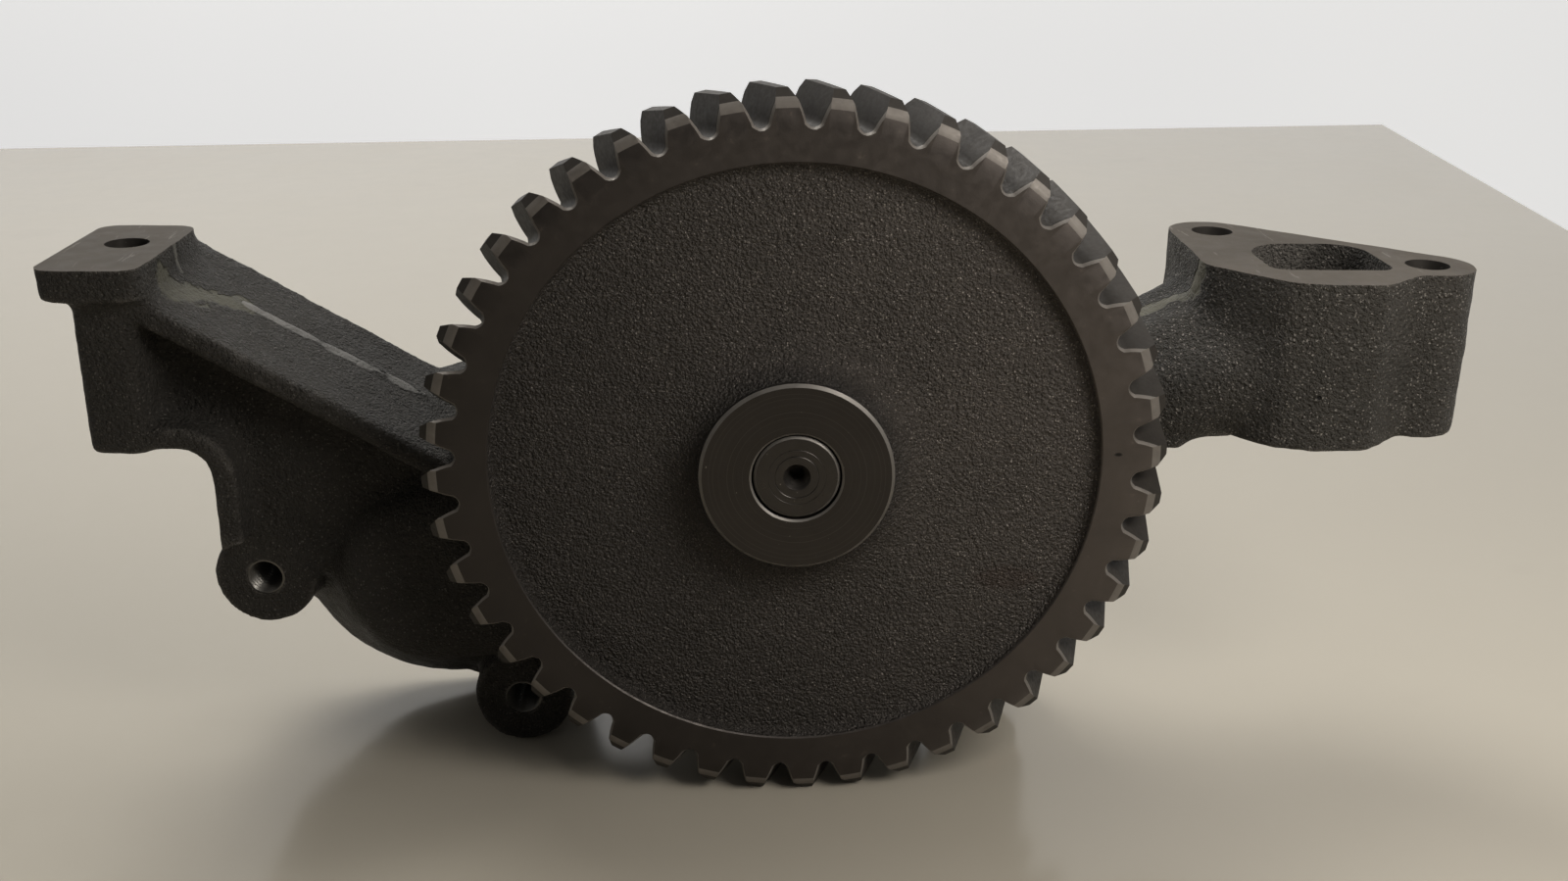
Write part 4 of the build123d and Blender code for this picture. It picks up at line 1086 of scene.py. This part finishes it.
def dress_rear_cover():
    start = JOINT_Y - FILL_EXTENSION
    fillers = [
        drilling(SHAFT_SPOTS, BUSH_R + FILL_OVER, start, BUSH_END + FILL_OVER),
        drilling(BOLT_SPOTS, 4.9, start, COVER_REAR),
        drilling(DOWEL_SPOTS, 4.35, start, 85.6),
        prism(case_outline(FLANGE_R), start, 84.0),
        box_cut((6.0, 26.0), (start, 84.0), (-91.7, -70.0)),
    ]
    piece = cast_skin("rear_cover_dressed", "rear_cover", fillers, cover_casting)
    machine(
        piece, machined_iron,
        box_cut((-80, 80), (30, JOINT_Y), (-140, 80)),
        drilling(BOLT_SPOTS, 8.6, COVER_REAR, CLEAR),
    )
    machine(
        piece, bored_iron,
        drilling(SHAFT_SPOTS, BUSH_R, 60, BUSH_END),
        drilling(BOLT_SPOTS, 4.5, 60, CLEAR),
        drilling(DOWEL_SPOTS, 4.0, 60, 85.2),
    )
    mark_wear(piece)
    soften(piece, 40)
    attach(piece, "housing")
    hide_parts("rear_cover")


def dress_boss_threads():
    """The cut threads that show in the three tapped bosses."""
    pitch, segments, steps = 1.5, 48, 8
    root_r, thread_height = 4.25, 0.62
    front, rear = BOSS_FRONT + 0.6, SUCTION_FACE - 0.6
    turns = int((rear - front) / pitch) * steps
    points, faces = [], []
    for centre in BOSS_SPOTS:
        base = len(points)
        for i in range(turns + 1):
            y = front + i * pitch / steps
            for j in range(segments):
                ridge = abs(((y / pitch + j / segments) % 1.0) * 2 - 1)
                radius = root_r + thread_height * min(1.0, max(0.0, ridge * 1.25 - 0.12))
                x, z = polar(radius, 2 * pi * j / segments, centre)
                points.append((x, y, z))
        # the sleeve's outer side, just inside the drilled boss
        for y in (front + turns * pitch / steps, front):
            points += [(x, y, z) for x, z in circle_points(centre, TAPPED_R + 0.02, segments)]
        faces += [tuple(base + v for v in face) for face in ring_faces(turns + 3, segments, True)]
    piece = new_piece("suction_boss_threads", points, faces, [thread_steel])
    soften(piece, 18)
    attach(piece, "housing")


# ---------------------------------------------------------------- fasteners
def hex_head(centre, flats, flat_end, crown_end, along, start):
    """Points and faces of a hexagon head whose crowned end has its corners turned off."""
    count = 72
    crown_r = flats / 2 * 0.97
    inward = 1 if flat_end > crown_end else -1
    rings = [[], [], [], []]
    for j in range(count):
        a = 2 * pi * j / count
        hexagon_r = flats / 2 / cos((a - start + pi / 6) % (pi / 3) - pi / 6)
        corner_drop = max(0.0, hexagon_r - crown_r) * tan(radians(30))
        levels = (
            (hexagon_r, flat_end), (hexagon_r, crown_end + inward * corner_drop),
            (crown_r, crown_end), (crown_r * 0.6, crown_end),
        )
        for ring, (radius, place) in zip(rings, levels):
            u, v = polar(radius, a, centre)
            ring.append((u, place, v) if along == "y" else (u, v, place))
    faces = ring_faces(4, count, False)
    faces += [tuple(range(count)), tuple(range(4 * count - 1, 3 * count - 1, -1))]
    return sum(rings, []), faces


def dress_cover_bolts():
    """The eight bolts of the cover, each head turned to its own angle, on their washers."""
    washer_rear = COVER_REAR + 1.6
    head_rear = COVER_REAR + 7.1
    solids = []
    for i, spot in enumerate(BOLT_SPOTS):
        solids.append(hex_head(spot, 13.0, washer_rear, head_rear, "y", 0.7 * i))
        solids.append(prism(circle_points(spot, 3.95, 32), JOINT_Y - 13, washer_rear + 0.2))
    piece = new_piece("cover_bolts_dressed", *gather(*solids), [fastener_steel])
    soften(piece, 32)
    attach(piece, "housing")
    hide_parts("cover_bolts")
    profile = [
        (4.3, COVER_REAR), (7.8, COVER_REAR), (8.0, COVER_REAR + 0.2), (8.0, COVER_REAR + 1.35),
        (7.75, washer_rear), (4.5, washer_rear), (4.3, COVER_REAR + 1.4),
    ]
    rings = gather(*(ring_solid(profile, spot, "y") for spot in BOLT_SPOTS))
    washers = new_piece("cover_washers_dressed", *rings, [fastener_steel])
    soften(washers, 35)
    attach(washers, "housing")
    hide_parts("cover_washers")


def dress_relief_plug():
    """The screw plug under the relief valve, with its copper seal."""
    seat, stem_top = -72.5, -61.0
    stem = [(0.4, stem_top), (7.6, stem_top), (8.45, stem_top - 1.0), (8.45, seat + 0.3), (0.4, seat + 0.3)]
    solids = gather(hex_head(VALVE, 22.0, seat, seat - 7.0, "z", 0.3), ring_solid(stem, VALVE, "z"))
    piece = new_piece("relief_plug_dressed", *solids, [fastener_steel])
    soften(piece, 32)
    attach(piece, "housing")
    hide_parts("relief_plug")
    top = seat + 1.5
    profile = [(8.6, seat), (12.1, seat), (12.45, seat + 0.35), (12.45, top - 0.35), (12.1, top), (8.6, top)]
    washer = new_piece("relief_plug_washer_dressed", *ring_solid(profile, VALVE, "z", 64), [copper_seal])
    soften(washer, 35)
    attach(washer, "housing")
    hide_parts("relief_plug_washer")


def dress_relief_spring():
    """The coil spring on its plug, wound to fill the relief_spring node's box."""
    low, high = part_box("relief_spring")
    coil_r = (high[0] - low[0]) / 2 / MM - SPRING_WIRE_R
    bottom, top = low[2] / MM + SPRING_WIRE_R, high[2] / MM - SPRING_WIRE_R
    count, steps = 12, int(SPRING_TURNS * 48)
    points = []
    for i in range(steps + 1):
        share = i / steps
        for a in np.linspace(0, 2 * pi, count + 1)[:-1]:
            x, y = polar(coil_r + SPRING_WIRE_R * cos(a), share * SPRING_TURNS * 2 * pi, VALVE)
            points.append((x, y, bottom + share * (top - bottom) - SPRING_WIRE_R * sin(a)))
    last = steps * count
    faces = ring_faces(steps + 1, count, False) + [tuple(range(count))[::-1], tuple(range(last, last + count))]
    piece = new_piece("relief_spring_dressed", points, faces, [spring_steel])
    soften(piece, 40)
    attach(piece, "housing")
    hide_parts("relief_spring")
    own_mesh(piece)


def dress_core_plug():
    """Pressed cup plug under the outlet port."""
    low = BLOCK_BOTTOM + 1.0
    profile = [(12.9, low + 0.3), (12.7, low), (11.7, low), (11.4, low + 0.4), (11.4, low + 4.2)]
    profile += fillet_run(10.2, low + 4.2, 1.2, 0, 90, 5)
    profile += [(5.0, low + 5.3), (0.0, low + 5.2), (0.0, low + 7.0), (11.5, low + 7.0), (12.9, low + 5.6)]
    piece = turned_piece("outlet_core_plug_dressed", profile, 72, CORE_PLUG, "z", [fastener_steel])
    soften(piece, 30)
    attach(piece, "housing")
    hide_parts("outlet_core_plug")


dress_drive_gear()
dress_drive_shaft()
dress_pump_body()
dress_rear_cover()
dress_boss_threads()
dress_cover_bolts()
dress_relief_plug()
dress_core_plug()
dress_relief_spring()

# nodes kept as the solids have them
NODE_FINISH = {
    "driven_shaft": shaft_steel, "relief_plunger": shaft_steel,
    "driving_pump_gear": flank_steel, "driven_pump_gear": flank_steel,
    "pump_gear_key": fastener_steel, "cover_dowels": fastener_steel,
    "thrust_washer": bush_bronze, "body_drive_bush": bush_bronze, "body_driven_bush": bush_bronze,
    "cover_drive_bush": bush_bronze, "cover_driven_bush": bush_bronze,
}
for node_name, finish in NODE_FINISH.items():
    mesh = nodes[node_name].data
    mesh.materials.clear()
    mesh.materials.append(finish)


# ---------------------------------------------------------------- table, wall and light
TABLE_LOW = -91.75            # table's top under the drive shaft
TABLE_LEAN = 0.0243           # it rises to the right in the pump's frame
TABLE_CORNER = (562.0, 1042.0)
TABLE_EDGE_RIGHT = (520.0, 624.0)
WALL_Y = 1500


def table_top_z(x):
    return TABLE_LOW + TABLE_LEAN * x


def table_finish():
    """Pale glossy laminate with faint smears."""
    material, n, shader, place, fine, base = mottled_finish(
        "table_laminate", 0.0, 0.25, 0.3, colour(0.375, 0.338, 0.272), colour(0.40, 0.365, 0.298),
    )
    smear = n.remap(n.noise(place, 14.0, 3.0), 0.66, 0.74)
    base = n.blend(n.math("MULTIPLY", smear, 0.10), base, colour(0.30, 0.265, 0.22))
    lay_surface(n, shader, base, fine, 0.13, 0.2)
    return material


def wall_finish():
    """Matt white paint that glows, with painted light: its colour and its glow are lighter to the right."""
    material, n, shader = new_finish("white_wall", 0.0)
    place = n.place()
    rightward = n.remap(n.axes(place)["X"], 0.0, 1.3)
    shade = n.math("ADD", n.math("MULTIPLY", n.noise(place, 1.3, 2.0), 0.4), n.math("MULTIPLY", rightward, 0.6))
    base = n.blend(shade, colour(0.80, 0.80, 0.80), colour(0.98, 0.975, 0.96))
    n.feed(shader["Base Color"], base)
    shader["Roughness"].default_value = 0.9
    # painted light: the wall glows with its own colour
    n.feed(shader["Emission Color"], base)
    shader["Emission Strength"].default_value = 0.60
    return material


def build_table():
    """The table's top with its rounded edge, and the wall behind it."""
    right_run = np.array(TABLE_CORNER) - np.array(TABLE_EDGE_RIGHT)
    near_right = np.array(TABLE_EDGE_RIGHT) - right_run * 4.0
    outline = [tuple(near_right), TABLE_CORNER, (-1400.0, 1030.0), (-1400.0, near_right[1])]
    centre = np.mean(outline, 0)
    edge_steps = [(0.0, 0.0), (0.9, 0.25), (1.8, 0.9), (2.6, 1.8), (2.8, 3.0), (2.8, 30.0)]
    rings = []
    for grow, drop in edge_steps:
        ring = []
        for x, y in outline:
            away = np.array([x, y]) - centre
            spot = np.array([x, y]) + away / np.linalg.norm(away) * grow
            ring.append((spot[0], spot[1], table_top_z(spot[0]) - drop))
        rings += ring
    faces = [f[::-1] for f in ring_faces(len(edge_steps), 4, False)]
    faces += [(3, 2, 1, 0), tuple(range(len(rings) - 4, len(rings)))]
    table = new_piece("table", rings, faces, [table_finish()])
    corners = [(x, WALL_Y, z) for x, z in ((-6000, -2500), (6000, -2500), (6000, 4000), (-6000, 4000))]
    wall = new_piece("wall", corners, [(0, 1, 2, 3)], [wall_finish()])


def build_world():
    """Soft room light that comes from behind the pump and a little from the right."""
    world = bpy.data.worlds.new("room")
    bpy.context.scene.world = world
    world.use_nodes = True
    world.node_tree.nodes.clear()
    n = Nodes(world.node_tree)
    xyz = n.axes(n.add("ShaderNodeTexCoord").outputs["Generated"])
    back = n.remap(xyz["Y"], -0.5, 0.8, 0.05, 0.70)
    right = n.remap(xyz["X"], -0.2, 0.9, 0.04, 0.10)
    level = n.math("ADD", back, right)
    light = n.add("ShaderNodeBackground", {"Color": colour(1.0, 0.985, 0.965), "Strength": level})
    n.add("ShaderNodeOutputWorld", {"Surface": light.outputs[0]})


def softbox(name, place, target, size, power, tint=(1.0, 1.0, 1.0)):
    """An area lamp in metres and watts that faces a target."""
    light = bpy.data.lights.new(name, "AREA")
    light.shape, light.size, light.size_y = "RECTANGLE", size[0], size[1]
    light.energy, light.color = power, tint
    lamp = bpy.data.objects.new(name, light)
    bpy.context.scene.collection.objects.link(lamp)
    lamp.location = Vector(place)
    lamp.rotation_euler = (Vector(target) - Vector(place)).to_track_quat("-Z", "Y").to_euler()


def build_camera():
    """Camera with its focal length given in pixels of a frame 1600 wide."""
    focal_px, frame_px, sensor = 1617.27, 1600.0, 36.0
    camera = bpy.data.cameras.new("camera")
    camera.sensor_width, camera.sensor_fit = sensor, "HORIZONTAL"
    camera.lens = focal_px * sensor / frame_px
    camera.clip_start, camera.clip_end = 0.01, 50.0
    eye = bpy.data.objects.new("camera", camera)
    bpy.context.scene.collection.objects.link(eye)
    right, up = Vector((0.99944, -0.03083, 0.01306)), Vector((-0.00153, 0.34754, 0.93766))
    back = right.cross(up).normalized()
    up = back.cross(right).normalized()
    turn = Matrix((right.normalized(), up, back)).transposed().to_4x4()
    eye.matrix_world = Matrix.Translation(Vector((-15.90, -360.01, 140.99)) * MM) @ turn
    bpy.context.scene.camera = eye


build_table()
build_world()
softbox("window", (-0.55, 0.85, 1.4), (-0.05, 0.15, 0.0), (0.9, 0.7), 17.0, (1.0, 0.99, 0.97))
softbox("overhead", (0.05, 0.6, 1.7), (0.1, 0.2, 0.0), (1.2, 0.8), 5.5)
softbox("fill", (0.25, -0.22, 0.26), (0.09, 0.0, 0.02), (0.2, 0.2), 1.3, (1.0, 0.96, 0.92))
build_camera()
bpy.context.scene.view_settings.view_transform = "Standard"
